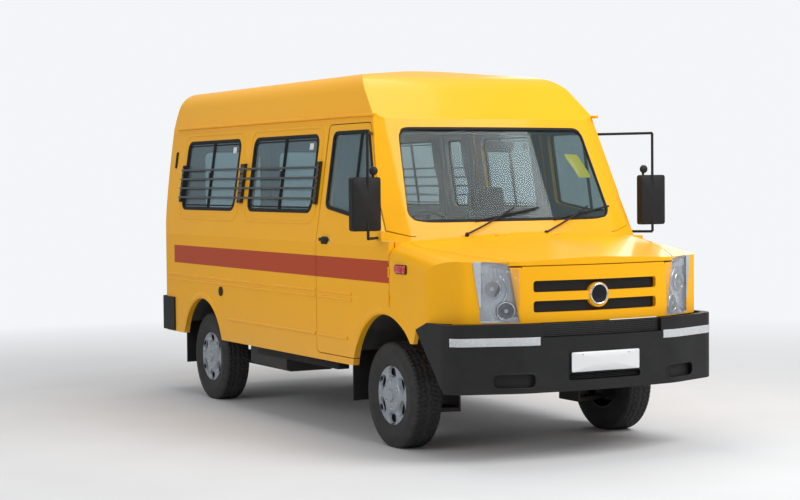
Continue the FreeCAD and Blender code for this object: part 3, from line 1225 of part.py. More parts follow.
rear_bumper_parts = [
    box("rear_step", (s.rear_bumper_x, s.rear_bumper_x + s.rear_bumper_thick),
        (-s.rear_corner_y - s.overrun, s.rear_corner_y + s.overrun),
        (s.rear_bumper_low_z, s.rear_bumper_high_z))]
for side in (RIGHT, LEFT):
    tag = SIDE_NAMES[side]
    wrap = prism("rear_wrap_" + tag, "XY", [
        (s.rear_bumper_x, side * s.rear_corner_y),
        (s.rear_bumper_x, side * (s.half_width + s.bumper_side_stand), s.rear_corner_radius),
        (s.rear_wrap_x, side * (s.half_width + s.bumper_side_stand)),
        (s.rear_wrap_x, side * s.rear_corner_y)], s.rear_corner_low_z, s.rear_corner_high_z)
    rear_bumper_parts.append(cut("rear_wrap_fit_" + tag, wrap, outer))
    rear_bumper_parts.append(box("rear_stay_" + tag, (s.rear_bumper_x + s.rear_bumper_thick / 2,
                                                      s.rail_rear_x),
                                 across(s.rail_y, s.rail_y + s.rail_width, side),
                                 (s.rear_bumper_low_z, s.rail_low_z + s.rail_wall * 4)))
rear_bumper = fuse("rear_bumper_whole", rear_bumper_parts)
subpart("rear_bumper", rear_bumper)


# Mirrors ride on the front doors.
def mirror(side):
    """Mirror head on a bent tubular arm with two feet on the door."""
    tag = SIDE_NAMES[side]
    half = s.mirror_depth / 2
    low, high = side * s.mirror_inner_y, side * s.mirror_outer_y
    head = prism("mirror_head_" + tag, "YZ", [
        (low, s.mirror_low_z, s.mirror_corner), (high, s.mirror_low_z, s.mirror_corner),
        (high, s.mirror_high_z, s.mirror_corner), (low, s.mirror_high_z, s.mirror_corner)],
        s.mirror_x - half, s.mirror_x + half)
    post = rod("mirror_post_" + tag, "z", s.arm_foot_low_z, s.arm_foot_high_z, s.arm_radius,
               (s.mirror_x + half + s.arm_radius / 2, side * s.arm_y))
    return head, post


def wall_y(z, side):
    """How far out the side wall is at a height."""
    lean = (z - s.waist_z) * side_slope
    return side * (s.half_width - lean)


def bar(name, ends, radius):
    """A round bar between two points given in sizes."""
    start, end = (Vector(*[number(v) for v in point]) for point in ends)
    piece = doc.addObject("Part::Feature", name)
    run = end - start
    piece.Shape = Part.makeCylinder(number(radius), run.Length, start, run)
    return piece


for side in (RIGHT, LEFT):
    tag = SIDE_NAMES[side]
    head, post = mirror(side)
    post_x = s.mirror_x + s.mirror_depth / 2 + s.arm_radius / 2
    arms = [
        bar("mirror_low_arm_" + tag, [
            (post_x, side * s.arm_y, s.arm_foot_low_z),
            (s.arm_foot_x, wall_y(s.arm_foot_low_z, side), s.arm_foot_low_z)], s.arm_radius),
        bar("mirror_high_arm_" + tag, [
            (post_x, side * s.arm_y, s.arm_foot_high_z),
            (s.arm_high_foot_x, wall_y(s.arm_foot_high_z, side), s.arm_foot_high_z)], s.arm_radius)]
    whole = fuse("mirror_whole_" + tag, [head, post] + arms)
    subpart("mirror_" + tag, cut("mirror_fit_" + tag, whole, outer))


# Lamps at the rear corners, fuel cap, mud flaps.
tail_lamps = []
for side in (RIGHT, LEFT):
    tag = SIDE_NAMES[side]
    tail_lamps.append(prism("tail_lamp_" + tag, "YZ", [
        (side * s.tail_inner_y, s.tail_low_z, s.mouth_corner),
        (side * s.tail_outer_y, s.tail_low_z, s.mouth_corner),
        (side * s.tail_outer_y, s.tail_high_z, s.mouth_corner),
        (side * s.tail_inner_y, s.tail_high_z, s.mouth_corner)],
        s.rear_face_x - s.tail_thick, s.rear_face_x))
subpart("tail_lamps", group("tail_lamp_pair", tail_lamps))
subpart("fuel_cap", rod("fuel_cap_disc", "y", -(s.half_width + s.cap_thick), -s.half_width,
                        s.cap_radius, (s.cap_x, s.cap_z)))
flaps = []
for side in (RIGHT, LEFT):
    tag = SIDE_NAMES[side]
    span = across(s.flap_inner_y, s.flap_outer_y, side)
    flaps.append(box("front_flap_" + tag, (s.front_flap_x, s.front_flap_x + s.flap_thick), span,
                     (s.flap_low_z, s.floor_z - s.floor_thick)))
    flaps.append(box("rear_flap_" + tag, (s.rear_flap_x, s.rear_flap_x + s.flap_thick), span,
                     (s.flap_low_z, s.floor_z - s.floor_thick)))
subpart("mud_flaps", group("mud_flap_set", flaps))

# Window guards: level bars on upright strips, standing off the wall.
guard_bars = 4


def guard(name, side, rear, front):
    """Four bars over a run of windows, with a strip at each end."""
    pieces = []
    for i in range(guard_bars):
        z = s.guard_low_z + s.guard_pitch * i
        y = wall_y(z, side) + side * s.guard_stand
        pieces.append(rod("%s_bar_%d" % (name, i), "x", rear, front, s.guard_bar, (y, z)))
    for i, x in enumerate((rear, front - s.guard_strip)):
        foot, head = s.guard_strip_low_z, s.guard_strip_high_z
        stand = side * s.guard_stand
        strip = prism("%s_strip_%d" % (name, i), "YZ", [
            (wall_y(foot, side), foot), (wall_y(foot, side) + stand, foot),
            (wall_y(head, side) + stand, head), (wall_y(head, side), head)],
            x, x + s.guard_strip)
        pieces.append(strip)
    return fuse(name, pieces)


guards = []
post_rear = (s.window_a_front + s.window_b_rear) / 2
for name, side, rear, front in (
        ("guard_a", RIGHT, s.window_a_rear - s.guard_strip, post_rear - s.seat_gap),
        ("guard_b", RIGHT, post_rear + s.seat_gap, s.guard_front_x),
        ("guard_c", LEFT, s.window_c_rear - s.guard_strip,
         s.window_d_front + s.guard_strip)):
    guards.append(guard(name, side, rear, front))
subpart("window_guards", group("window_guard_set", guards))

# Wipers parked along the foot of the windscreen.
def screen_face(y, z):
    """How far forward the windscreen's face is at a place across and up it."""
    lean = s.screen_base_x - (z - s.screen_base_z) * screen_slope
    return lean + s.screen_crown - y * y / (s.screen_bow_radius * 2)


wipers = []
wiper_shares = ((-0.52, -0.02), (0.24, 0.74))
for i, (pivot_share, tip_share) in enumerate(wiper_shares):
    pivot_y, tip_y = s.pillar_y * pivot_share, s.pillar_y * tip_share
    foot_x = s.screen_base_x + s.screen_bulge + s.wiper_radius
    tip_z = s.glass_low_z + s.wiper_lift
    base = (foot_x, pivot_y, s.bonnet_rear_z + s.wiper_radius * 2)
    tip = (screen_face(tip_y, tip_z) + s.wiper_radius * 2, tip_y, tip_z)
    wipers.append(fuse("wiper_%d" % i, [
        bar("wiper_post_%d" % i, [(foot_x, pivot_y, s.bonnet_rear_z - s.hinge_end),
                                  (foot_x, pivot_y, s.bonnet_rear_z + s.hinge_end)],
            s.wiper_blade),
        bar("wiper_arm_%d" % i, [base, tip], s.wiper_radius)]))
subpart("wipers", cut("wiper_fit", group("wiper_pair", wipers),
                      group("wiper_clear", [nose_outer, outer])))

# Dashboard and steering column.
dash_front_x = s.shut_line_x - s.firewall
dash = prism("dash", "XZ", [
    (s.dash_rear_x, s.dash_low_z), (dash_front_x, s.dash_low_z), (dash_front_x, s.dash_high_z),
    (dash_front_x - s.wall * 2, s.dash_brow_z, s.wall), (s.dash_rear_x + s.wall, s.dash_high_z,
                                                            s.wall)],
    s.dash_half, -s.dash_half)
lean = s.steering_lean.mm
column_dir = (-math.cos(math.radians(lean)), 0, math.sin(math.radians(lean)))
column_top = (s.column_x + s.column_length * column_dir[0], s.column_y,
              s.column_z + s.column_length * column_dir[2])
column = bar("column", [(s.column_x - column_dir[0] * s.wall.mm, s.column_y,
                         s.column_z - column_dir[2] * s.wall.mm), column_top], s.column_radius)
pin_end = tuple(column_top[i] + column_dir[i] * s.steering_rim * 2 for i in range(3))
column_pin = bar("column_pin", [column_top, pin_end], s.hinge_pin * 2)
dashboard = cut("dash_fit", fuse("dash_whole", [dash, column, column_pin]),
                group("dash_clear", [cut("not_inside", box("dash_block", (
                    s.dash_rear_x, s.shut_line_x), (-through, through), (s.dash_low_z, s.gutter_z)),
                    inner), all_wheel_space]))
dash_ends = [box("dash_end_" + SIDE_NAMES[side], (s.dash_rear_x - s.overrun, s.shut_line_x),
                 across(s.split_y, through, side), (s.dash_high_z, s.gutter_z))
             for side in (RIGHT, LEFT)]
subpart("dashboard", cut("dash_trim", dashboard, group("dash_end_pair", dash_ends)))


def along(point, amount):
    """A point moved along the steering column."""
    return tuple(point[i] + column_dir[i] * amount for i in range(3))


wheel_centre = along(column_top, s.steering_rim + s.barrel_gap)
axis_dir = Vector(*column_dir)
centre = Vector(*[number(v) for v in wheel_centre])
rim = doc.addObject("Part::Feature", "steering_rim")
rim.Shape = Part.makeTorus(s.steering_radius.mm, s.steering_rim.mm, centre, axis_dir)
hub = bar("steering_hub", [along(column_top, s.barrel_gap),
                           along(column_top, s.steering_rim * 2 + s.barrel_gap * 2)],
          s.steering_hub)
spoke_side = axis_dir.cross(Vector(0, 1, 0)).normalize()
spokes = []
spoke_angles = (0, 180, 270)
for i, angle in enumerate(spoke_angles):
    way = Vector(0, 1, 0) * math.cos(math.radians(angle)) + spoke_side * math.sin(
        math.radians(angle))
    spoke = doc.addObject("Part::Feature", "steering_spoke_%d" % i)
    spoke.Shape = Part.makeCylinder(s.spoke_radius.mm, s.steering_radius.mm, centre, way)
    spokes.append(spoke)
hole = bar("steering_hole", [along(column_top, -s.overrun), along(column_top, s.overrun * 2)],
           s.hinge_pin * 2 + s.pin_clearance)
subpart("steering_wheel", cut("steering_bored", fuse("steering_whole", [rim, hub] + spokes), hole))


# Seats: soft blocks on a frame that stands on the floor.
def seat_cushions(name, x, y, half):
    """Cushion and raked back of one seat."""
    low, high = y - half, y + half
    top = s.cushion_z
    base = top - s.cushion_thick
    cushion = prism(name + "_cushion", "XZ", [
        (x, base, s.seat_corner), (x + s.cushion_long, base, s.seat_corner),
        (x + s.cushion_long, top, s.seat_corner), (x, top, s.seat_corner)], high, low)
    foot = x - s.seat_gap
    back = prism(name + "_back", "XZ", [
        (foot - s.back_thick, base, s.seat_corner), (foot, base, s.seat_corner),
        (foot - s.back_rake, base + s.back_tall, s.seat_corner),
        (foot - s.back_rake - s.back_thick, base + s.back_tall, s.seat_corner)], high, low)
    return [cushion, back]


def seat_frame(name, x, y, half):
    """Seat pan and two legs."""
    base = s.cushion_z - s.cushion_thick - s.seat_gap
    pan = box(name + "_pan", (x - s.back_thick, x + s.cushion_long - s.leg_inset),
              (y - half + s.leg_inset, y + half - s.leg_inset), (base - s.leg_width / 2, base))
    legs = [box("%s_leg_%d" % (name, i), (lx, lx + s.leg_width),
                (y - half + s.leg_inset, y + half - s.leg_inset), (s.floor_z, base))
            for i, lx in enumerate((x, x + s.cushion_long - s.leg_inset * 2))]
    return fuse(name, [pan] + legs)


seat_places = [("seat_front_%s" % SIDE_NAMES[side], s.front_seat_x, side * s.front_seat_y,
                s.front_seat_half) for side in (RIGHT, LEFT)]
bench_places = []
for row, x in (("a", s.row_a_x), ("b", s.row_b_x), ("c", s.row_c_x)):
    for side in (RIGHT, LEFT):
        if not (row == "a" and side == LEFT):
            bench_places.append(("bench_%s_%s" % (row, SIDE_NAMES[side]), x, side * s.bench_y,
                                 s.bench_half))
for label, places in (("front_seats", seat_places), ("rear_seats", bench_places)):
    soft = []
    for place_of in places:
        soft += seat_cushions(*place_of)
    subpart(label, group(label + "_set", soft))
seat_frames = group("seat_frame_set", [
    seat_frame("frame_" + name, x, y, half) for name, x, y, half in seat_places + bench_places])
subpart("seat_frames", cut("seat_frame_fit", seat_frames, group("wheel_box_set", boxes)))

# Curtains hang flat against the walls, beside the windows.
curtain_layer = cut(
    "curtain_layer",
    wall_section("curtain_out", s.wall + s.seat_gap, s.roof_wall * 2, s.rear_face_x,
                 s.shut_line_x, s.sill_z),
    wall_section("curtain_in", s.wall + s.curtain_thick, s.roof_wall * 2,
                 s.rear_face_x - s.overrun, s.shut_line_x + s.overrun, s.sill_z - s.overrun))
curtains = []
for side in (RIGHT, LEFT):
    for i, (rear, front) in enumerate(side_windows[side]):
        tag = "%s_%d" % (SIDE_NAMES[side], i)
        curtains.append(common("curtain_" + tag, curtain_layer, side_prism(
            "curtain_form_" + tag, side, [
                (front - s.curtain_wide / 2, s.curtain_low_z), (front + s.curtain_wide / 2,
                                                                s.curtain_low_z),
                (front + s.curtain_wide / 2, s.curtain_high_z),
                (front - s.curtain_wide / 2, s.curtain_high_z)])))
subpart("curtains", group("curtain_set", curtains))

doc.recompute()
faults = []
for thing in doc.Objects:
    if "Invalid" in thing.State or "Error" in thing.State:
        faults.append("%s %s" % (thing.Name, thing.State))
for thing in subparts:
    if thing.Shape.isNull() or not thing.Shape.isValid():
        faults.append("%s has no sound shape" % thing.Label)
if faults:
    raise RuntimeError("; ".join(faults))
os.makedirs("parts", exist_ok=True)
for thing in subparts:
    thing.Shape.exportStep("parts/%s.step" % thing.Label)
    print(thing.Label, len(thing.Shape.Solids), round(thing.Shape.Volume / 1e6, 3))
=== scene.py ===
"""School bus: finishes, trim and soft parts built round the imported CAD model."""

import json
import logging
import math
from dataclasses import dataclass, field
from enum import Enum
from typing import Any, Callable, Dict, List, Optional, Sequence, Tuple

import bmesh
import bpy
import numpy as np
from mathutils import Matrix

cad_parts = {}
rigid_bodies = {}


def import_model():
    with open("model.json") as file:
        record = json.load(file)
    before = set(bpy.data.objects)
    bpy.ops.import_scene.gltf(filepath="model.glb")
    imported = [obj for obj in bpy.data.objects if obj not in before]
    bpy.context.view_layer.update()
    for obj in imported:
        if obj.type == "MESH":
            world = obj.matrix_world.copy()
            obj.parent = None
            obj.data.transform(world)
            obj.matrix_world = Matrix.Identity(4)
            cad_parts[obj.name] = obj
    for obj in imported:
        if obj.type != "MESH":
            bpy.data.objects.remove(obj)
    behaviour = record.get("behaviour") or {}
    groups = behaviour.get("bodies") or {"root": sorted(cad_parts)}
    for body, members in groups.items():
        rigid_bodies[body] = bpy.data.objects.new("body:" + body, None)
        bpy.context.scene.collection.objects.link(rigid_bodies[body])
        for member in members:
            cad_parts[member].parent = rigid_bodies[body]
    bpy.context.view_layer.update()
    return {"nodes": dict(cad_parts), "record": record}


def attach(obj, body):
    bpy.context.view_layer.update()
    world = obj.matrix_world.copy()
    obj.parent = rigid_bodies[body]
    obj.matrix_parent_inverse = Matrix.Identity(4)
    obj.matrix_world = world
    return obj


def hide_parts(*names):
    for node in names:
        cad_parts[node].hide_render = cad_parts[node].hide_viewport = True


for leftover in list(bpy.data.objects):
    bpy.data.objects.remove(leftover)
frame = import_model()
LOG = logging.getLogger("school_bus")

Array = np.ndarray
Colour = Tuple[float, float, float]
Lay = Callable[..., Array]
FORWARD = np.array([1.0, 0.0, 0.0])
OUTWARD_STEP = 0.01


class Side(Enum):
    """A side of the vehicle, with the sign of its y."""

    RIGHT = -1.0
    LEFT = 1.0


SIDES: Dict[str, float] = {side.name.lower(): side.value for side in Side}
FRONT_DOORS: Dict[str, str] = {"right": "driver_door", "left": "front_passenger_door"}


class Sock:
    """A shader value on which Python's operators add Math nodes."""

    def __init__(self, recipe: "Recipe", link: Any) -> None:
        """Keep the recipe that the value belongs to and its output socket."""
        self.recipe = recipe
        self.link = link

    def _math(self, kind: str, left: Any, right: Any = None) -> "Sock":
        """Add one Math node.

        Args:
            kind: the node's operation.
            left: its first value or Sock.
            right: its second value or Sock, where it has one.

        Returns:
            The node's result.
        """
        values = {0: left} if right is None else {0: left, 1: right}
        return self.recipe.node("ShaderNodeMath", {"operation": kind}, values)

    def __add__(self, other: Any) -> "Sock":
        """Sum."""
        return self._math("ADD", self, other)

    __radd__ = __add__

    def __sub__(self, other: Any) -> "Sock":
        """Difference."""
        return self._math("SUBTRACT", self, other)

    def __rsub__(self, other: Any) -> "Sock":
        """Difference with the sides swapped."""
        return self._math("SUBTRACT", other, self)

    def __mul__(self, other: Any) -> "Sock":
        """Product."""
        return self._math("MULTIPLY", self, other)

    __rmul__ = __mul__

    def __truediv__(self, other: Any) -> "Sock":
        """Quotient."""
        return self._math("DIVIDE", self, other)

    def __gt__(self, other: Any) -> "Sock":
        """One where the value is more than the other."""
        return self._math("GREATER_THAN", self, other)

    def __lt__(self, other: Any) -> "Sock":
        """One where the value is less than the other."""
        return self._math("LESS_THAN", self, other)

    def __abs__(self) -> "Sock":
        """Size without its sign."""
        return self._math("ABSOLUTE", self)

    def root(self) -> "Sock":
        """Square root."""
        return self._math("SQRT", self)

    def sine(self) -> "Sock":
        """Sine of an angle in radians."""
        return self._math("SINE", self)

    def between(self, low: float, high: float) -> "Sock":
        """One between two limits and nought elsewhere."""
        return (self > low) * (self < high)

    def clamped(self) -> "Sock":
        """The value held between nought and one."""
        return self._math("MINIMUM", self._math("MAXIMUM", self, 0.0), 1.0)


class Recipe:
    """A material under construction."""

    def __init__(self, name: str) -> None:
        """Start an empty material with an output."""
        self.material = bpy.data.materials.new(name)
        self.material.use_nodes = True
        self.tree = self.material.node_tree
        self.tree.nodes.clear()
        self.out = self.tree.nodes.new("ShaderNodeOutputMaterial")

    def node(self, kind: str, settings: Optional[Dict[str, Any]] = None,
             values: Optional[Dict[Any, Any]] = None, output: Any = 0) -> Sock:
        """Add a node.

        Args:
            kind: the node's type.
            settings: attributes set first; "stops" fills a colour ramp.
            values: socket name or number to a value, a colour or a Sock.
            output: the wanted output's name or number.

        Returns:
            The wanted output.
        """
        made = self.tree.nodes.new(kind)
        for key, value in (settings or {}).items():
            if key == "stops":
                ramp = made.color_ramp.elements
                while len(ramp) < len(value):
                    ramp.new(0.5)
                for element, (place, colour) in zip(ramp, value):
                    element.position = place
                    element.color = (*colour, 1.0)
            else:
                setattr(made, key, value)
        for key, value in (values or {}).items():
            socket = made.inputs[key]
            if isinstance(value, Sock):
                self.tree.links.new(value.link, socket)
            elif isinstance(value, tuple) and len(value) == 3 and socket.type == "RGBA":
                socket.default_value = (*value, 1.0)
            else:
                socket.default_value = value
        return Sock(self, made.outputs[output])

    def place(self) -> Tuple[Sock, Sock, Sock, Sock]:
        """Object coordinates, whole and split.

        Returns:
            The vector, then its x, y and z.
        """
        vector = self.node("ShaderNodeTexCoord", output="Object")
        split = self.tree.nodes.new("ShaderNodeSeparateXYZ")
        self.tree.links.new(vector.link, split.inputs[0])
        return vector, *(Sock(self, split.outputs[i]) for i in range(3))

    def facing(self) -> Tuple[Sock, Sock, Sock]:
        """The way that the surface faces in object space, split."""
        normal = self.node("ShaderNodeTexCoord", output="Normal")
        split = self.tree.nodes.new("ShaderNodeSeparateXYZ")
        self.tree.links.new(normal.link, split.inputs[0])
        return tuple(Sock(self, split.outputs[i]) for i in range(3))

    def uv(self) -> Tuple[Sock, Sock, Sock]:
        """The piece's own UV map, whole and split.

        Returns:
            The vector, then its u and v.
        """
        vector = self.node("ShaderNodeTexCoord", output="UV")
        split = self.tree.nodes.new("ShaderNodeSeparateXYZ")
        self.tree.links.new(vector.link, split.inputs[0])
        return vector, Sock(self, split.outputs[0]), Sock(self, split.outputs[1])

    def noise(self, vector: Sock, scale: float, detail: float = 3.0,
              roughness: float = 0.5) -> Sock:
        """Soft noise from nought to one at a scale per metre."""
        return self.node("ShaderNodeTexNoise", None,
                         {"Vector": vector, "Scale": scale, "Detail": detail,
                          "Roughness": roughness}, 0)

    def cells(self, vector: Sock, scale: float) -> Sock:
        """Distance to the nearest point of a random cell pattern."""
        return self.node("ShaderNodeTexVoronoi", None, {"Vector": vector, "Scale": scale}, 0)

    def mix(self, share: Any, first: Any, second: Any) -> Sock:
        """Blend of two colours."""
        return self.node("ShaderNodeMix", {"data_type": "RGBA"},
                         {0: share, 6: first, 7: second}, 2)

    def bump(self, height: Sock, strength: float, distance: float) -> Sock:
        """Normal from a height."""
        return self.node("ShaderNodeBump", None,
                         {"Height": height, "Strength": strength, "Distance": distance})

    def shader(self, **values: Any) -> Sock:
        """The principled shader, with underscores in names for spaces."""
        return self.node("ShaderNodeBsdfPrincipled", None,
                         {key.replace("_", " "): value for key, value in values.items()})

    def finish(self, surface: Sock) -> bpy.types.Material:
        """Join the surface to the output and give the material."""
        self.tree.links.new(surface.link, self.out.inputs["Surface"])
        return self.material


@dataclass(frozen=True)
class BodyPaint:
    """Golden yellow coach enamel with the warning stripe, and pale lining inside the cabin."""

    slot: str = "body_paint"
    yellow: Colour = (0.95, 0.455, 0.009)
    deep: Colour = (0.88, 0.385, 0.007)
    stripe: Colour = (0.46, 0.058, 0.011)
    lining: Colour = (0.46, 0.44, 0.40)
    stripe_low: float = 1.068
    stripe_high: float = 1.211
    stripe_rear: float = -2.20
    stripe_front: float = 1.548
    stripe_half: float = 0.955
    waist: float = 1.3
    slope: float = 0.1441
    room_half: float = 0.983
    room_low: float = 0.645
    room_high: float = 2.498
    room_rear: float = -2.480
    room_front: float = 1.50

    def build(self) -> bpy.types.Material:
        """Colour by place: stripe on the sides, lining inside, a little road dust at the sill.

        A point is lined where it lies in the room and its face turns to the room's middle, which
        a weighed product of its place from the middle and its normal tells.

        Returns:
            The material.
        """
        r = Recipe("enamel_yellow")
        vector, x, y, z = r.place()
        out = abs(y)
        side = out > self.stripe_half
        stripe = z.between(self.stripe_low, self.stripe_high) * side * x.between(
            self.stripe_rear, self.stripe_front)
        nx, ny, nz = r.facing()
        turned_in = (y * ny + (z - 1.45) * nz * 0.8 + (x + 0.6) * nx * 0.3) < -0.02
        lean = (z - self.waist).clamped() * self.slope
        room = (out < (self.room_half - lean)) * z.between(self.room_low, self.room_high)
        room = room * x.between(self.room_rear, self.room_front)
        inside = room * turned_in
        cloud = r.noise(vector, 2.2, 4.0)
        enamel = r.mix(cloud * 0.35, self.yellow, self.deep)
        dust = ((0.80 - z) * 2.2).clamped() * r.noise(vector, 14.0, 5.0) * 0.30
        dusty = r.mix(dust, r.mix(stripe, enamel, self.stripe), (0.42, 0.36, 0.27))
        colour = r.mix(inside, dusty, self.lining)
        peel = r.noise(vector, 260.0, 2.0)
        wave = r.noise(vector, 3.5, 2.0)
        rough = dust * 0.4 + 0.30 + inside * 0.42 + r.noise(vector, 30.0, 3.0) * 0.05
        gloss = 1.0 - inside
        return r.finish(r.shader(
            Base_Color=colour, Roughness=rough, Coat_Weight=gloss * 0.14, Coat_Roughness=0.08,
            Specular_IOR_Level=0.13,
            Normal=r.bump(peel * 0.12 + wave, 0.10, 0.004)))


@dataclass(frozen=True)
class Moulded:
    """Moulded plastic or rubber with a fine grain and scuffs."""

    name: str
    slot: str
    colour: Colour = (0.018, 0.018, 0.019)
    pale: Colour = (0.055, 0.053, 0.050)
    rough: float = 0.50
    grain: float = 900.0
    depth: float = 0.0004
    wear: float = 0.45

    def build(self) -> bpy.types.Material:
        """Grain from small cells, paler cloudy wear.

        Returns:
            The material.
        """
        r = Recipe(self.name)
        vector, _, _, z = r.place()
        cloud = r.noise(vector, 9.0, 6.0)
        fine = r.noise(vector, 120.0, 3.0)
        worn = (cloud - 0.42).clamped() * self.wear * 2.0
        dust = ((0.75 - z) * 1.6).clamped() * r.noise(vector, 6.0, 5.0) * 0.30
        colour = r.mix((worn + dust).clamped(), self.colour, self.pale)
        return r.finish(r.shader(
            Base_Color=colour, Roughness=fine * 0.14 + (self.rough - 0.05) + dust * 0.4,
            Specular_IOR_Level=0.26,
            Normal=r.bump(r.cells(vector, self.grain), 0.35, self.depth)))


@dataclass(frozen=True)
class Metal:
    """Painted, cast or plated metal."""

    name: str
    slot: str
    colour: Colour
    stain: Colour = (0.10, 0.075, 0.05)
    metallic: float = 0.0
    rough: float = 0.4
    coat: float = 0.0
    grit: float = 0.3
    scale: float = 45.0

    def build(self) -> bpy.types.Material:
        """Clean metal with patches of stain and a gritty bump.

        Returns:
            The material.
        """
        r = Recipe(self.name)
        vector, _, _, _ = r.place()
        patch = r.noise(vector, 7.0, 7.0, 0.62)
        grain = r.noise(vector, self.scale * 8.0, 3.0)
        stained = ((patch - 0.5) * 3.0).clamped() * self.grit
        colour = r.mix(stained, self.colour, self.stain)
        return r.finish(r.shader(
            Base_Color=colour, Metallic=(1.0 - stained) * self.metallic,
            Roughness=stained * 0.35 + self.rough + grain * 0.06, Coat_Weight=self.coat,
            Coat_Roughness=0.08, Normal=r.bump(grain, 0.12, 0.0006)))


@dataclass(frozen=True)
class Glazing:
    """Clear or tinted glass that shows the cabin behind and mirrors at low angles."""

    name: str = "window_glass"
    slot: str = "glass"
    tint: Colour = (0.86, 0.92, 0.92)
    # Base colour of the gloss layer, seen flat across the pane at the base share; on the side glass
    # its grey-cyan is painted reflection.
    body: Colour = (0.10, 0.13, 0.14)
    base: float = 0.05
    edge: float = 0.25

    def build(self) -> bpy.types.Material:
        """Mix of see-through and gloss by a Fresnel share, with faint smears.

        Returns:
            The material.
        """
        r = Recipe(self.name)
        vector, _, _, _ = r.place()
        edge = r.node("ShaderNodeLayerWeight", None, {"Blend": 0.35}, "Fresnel")
        smear = r.noise(vector, 3.0, 4.0) * 0.05
        clear = r.node("ShaderNodeBsdfTransparent", None, {"Color": self.tint})
        # Where the base share is large, as on the side glass, the gloss layer's base colour is painted
        # reflection.
        gloss = r.shader(Base_Color=self.body, Roughness=smear * 0.6 + 0.01,
                         Specular_IOR_Level=0.9, Coat_Weight=0.6)
        return r.finish(r.node("ShaderNodeMixShader", None,
                               {0: (edge * self.edge + self.base + smear).clamped(), 1: clear,
                                2: gloss}))


@dataclass(frozen=True)
class Lens:
    """Moulded lamp lens with fine ribs."""

    name: str
    slot: str
    colour: Colour
    ribs: float = 260.0
    clear: float = 0.0
    relief: float = 0.25

    def build(self) -> bpy.types.Material:
        """Coloured gloss plastic over an inner rib pattern.

        Returns:
            The material.
        """
        r = Recipe(self.name)
        _, _, y, z = r.place()
        rib = (y * self.ribs).sine() * (z * self.ribs).sine()
        inner = r.mix(rib * 0.25 + 0.35, self.colour,
                      tuple(min(1.0, c * 1.9 + 0.03) for c in self.colour))
        gloss = r.shader(Base_Color=inner, Roughness=0.08, Coat_Weight=1.0, Coat_Roughness=0.02,
                         Normal=r.bump(rib, self.relief, 0.0008))
        if not self.clear:
            return r.finish(gloss)
        edge = r.node("ShaderNodeLayerWeight", None, {"Blend": 0.4}, "Fresnel")
        through = r.node("ShaderNodeBsdfTransparent", None, {"Color": (0.96, 0.97, 0.98)})
        share = (edge * 0.35 + (1.0 - self.clear)).clamped()
        return r.finish(r.node("ShaderNodeMixShader", None, {0: share, 1: through, 2: gloss}))


@dataclass(frozen=True)
class Woven:
    """Woven cloth whose threads follow the piece's own UV map in metres."""

    name: str
    slot: str
    colour: Colour
    thread: Colour
    pitch: float = 0.0016
    pile: float = 0.35

    def build(self) -> bpy.types.Material:
        """Over-and-under threads with a slow change of shade and sheen.

        Returns:
            The material.
        """
        r = Recipe(self.name)
        vector, u, v = r.uv()
        turn = 2.0 * math.pi / (2.0 * self.pitch)
        weave = (u * turn).sine() * (v * turn).sine()
        fade = r.noise(vector, 5.0, 4.0)
        fluff = r.noise(vector, 700.0, 2.0)
        colour = r.mix((weave * 0.25 + fade * 0.45 + fluff * 0.25).clamped(), self.colour,
                       self.thread)
        return r.finish(r.shader(
            Base_Color=colour, Roughness=fluff * 0.12 + 0.82, Sheen_Weight=self.pile,
            Sheen_Roughness=0.5, Normal=r.bump(weave + fluff * 0.6, 0.35, 0.0006)))


@dataclass(frozen=True)
class TyreRubber:
    """Tyre rubber with ring lines on the side wall and dust in the tread."""

    slot: str = "tyre"

    def build(self) -> bpy.types.Material:
        """Fine rings that follow the section's own length, and dust in soft patches.

        Returns:
            The material.
        """
        r = Recipe("tyre_rubber")
        vector, _, v = r.uv()
        ring = (v * 900.0).sine()
        dust = ((r.noise(vector, 16.0, 5.0) - 0.35) * 1.6).clamped()
        colour = r.mix(dust * 0.5, (0.020, 0.020, 0.021), (0.085, 0.080, 0.072))
        grain = r.noise(vector, 600.0, 2.0)
        return r.finish(r.shader(Base_Color=colour, Roughness=dust * 0.2 + 0.62,
                                 Specular_IOR_Level=0.35,
                                 Normal=r.bump(ring * 0.5 + grain, 0.25, 0.0006)))


@dataclass(frozen=True)
class Reflective:
    """Pale reflective tape with a honeycomb under a clear film."""

    name: str = "reflective_tape"
    slot: str = "lamp_lens"
    colour: Colour = (0.66, 0.68, 0.69)

    def build(self) -> bpy.types.Material:
        """Cell pattern in shade and bump.

        Returns:
            The material.
        """
        r = Recipe(self.name)
        vector, _, _, _ = r.place()
        cell = r.cells(vector, 240.0)
        colour = r.mix((cell * 1.2).clamped(), self.colour, (0.44, 0.46, 0.47))
        return r.finish(r.shader(Base_Color=colour, Roughness=r.noise(vector, 40.0) * 0.1 + 0.22,
                                 Coat_Weight=0.5, Normal=r.bump(cell, 0.15, 0.0004)))


def unit(ways: Array) -> Array:
    """Rows of length one."""
    return ways / np.linalg.norm(ways, axis=1, keepdims=True)


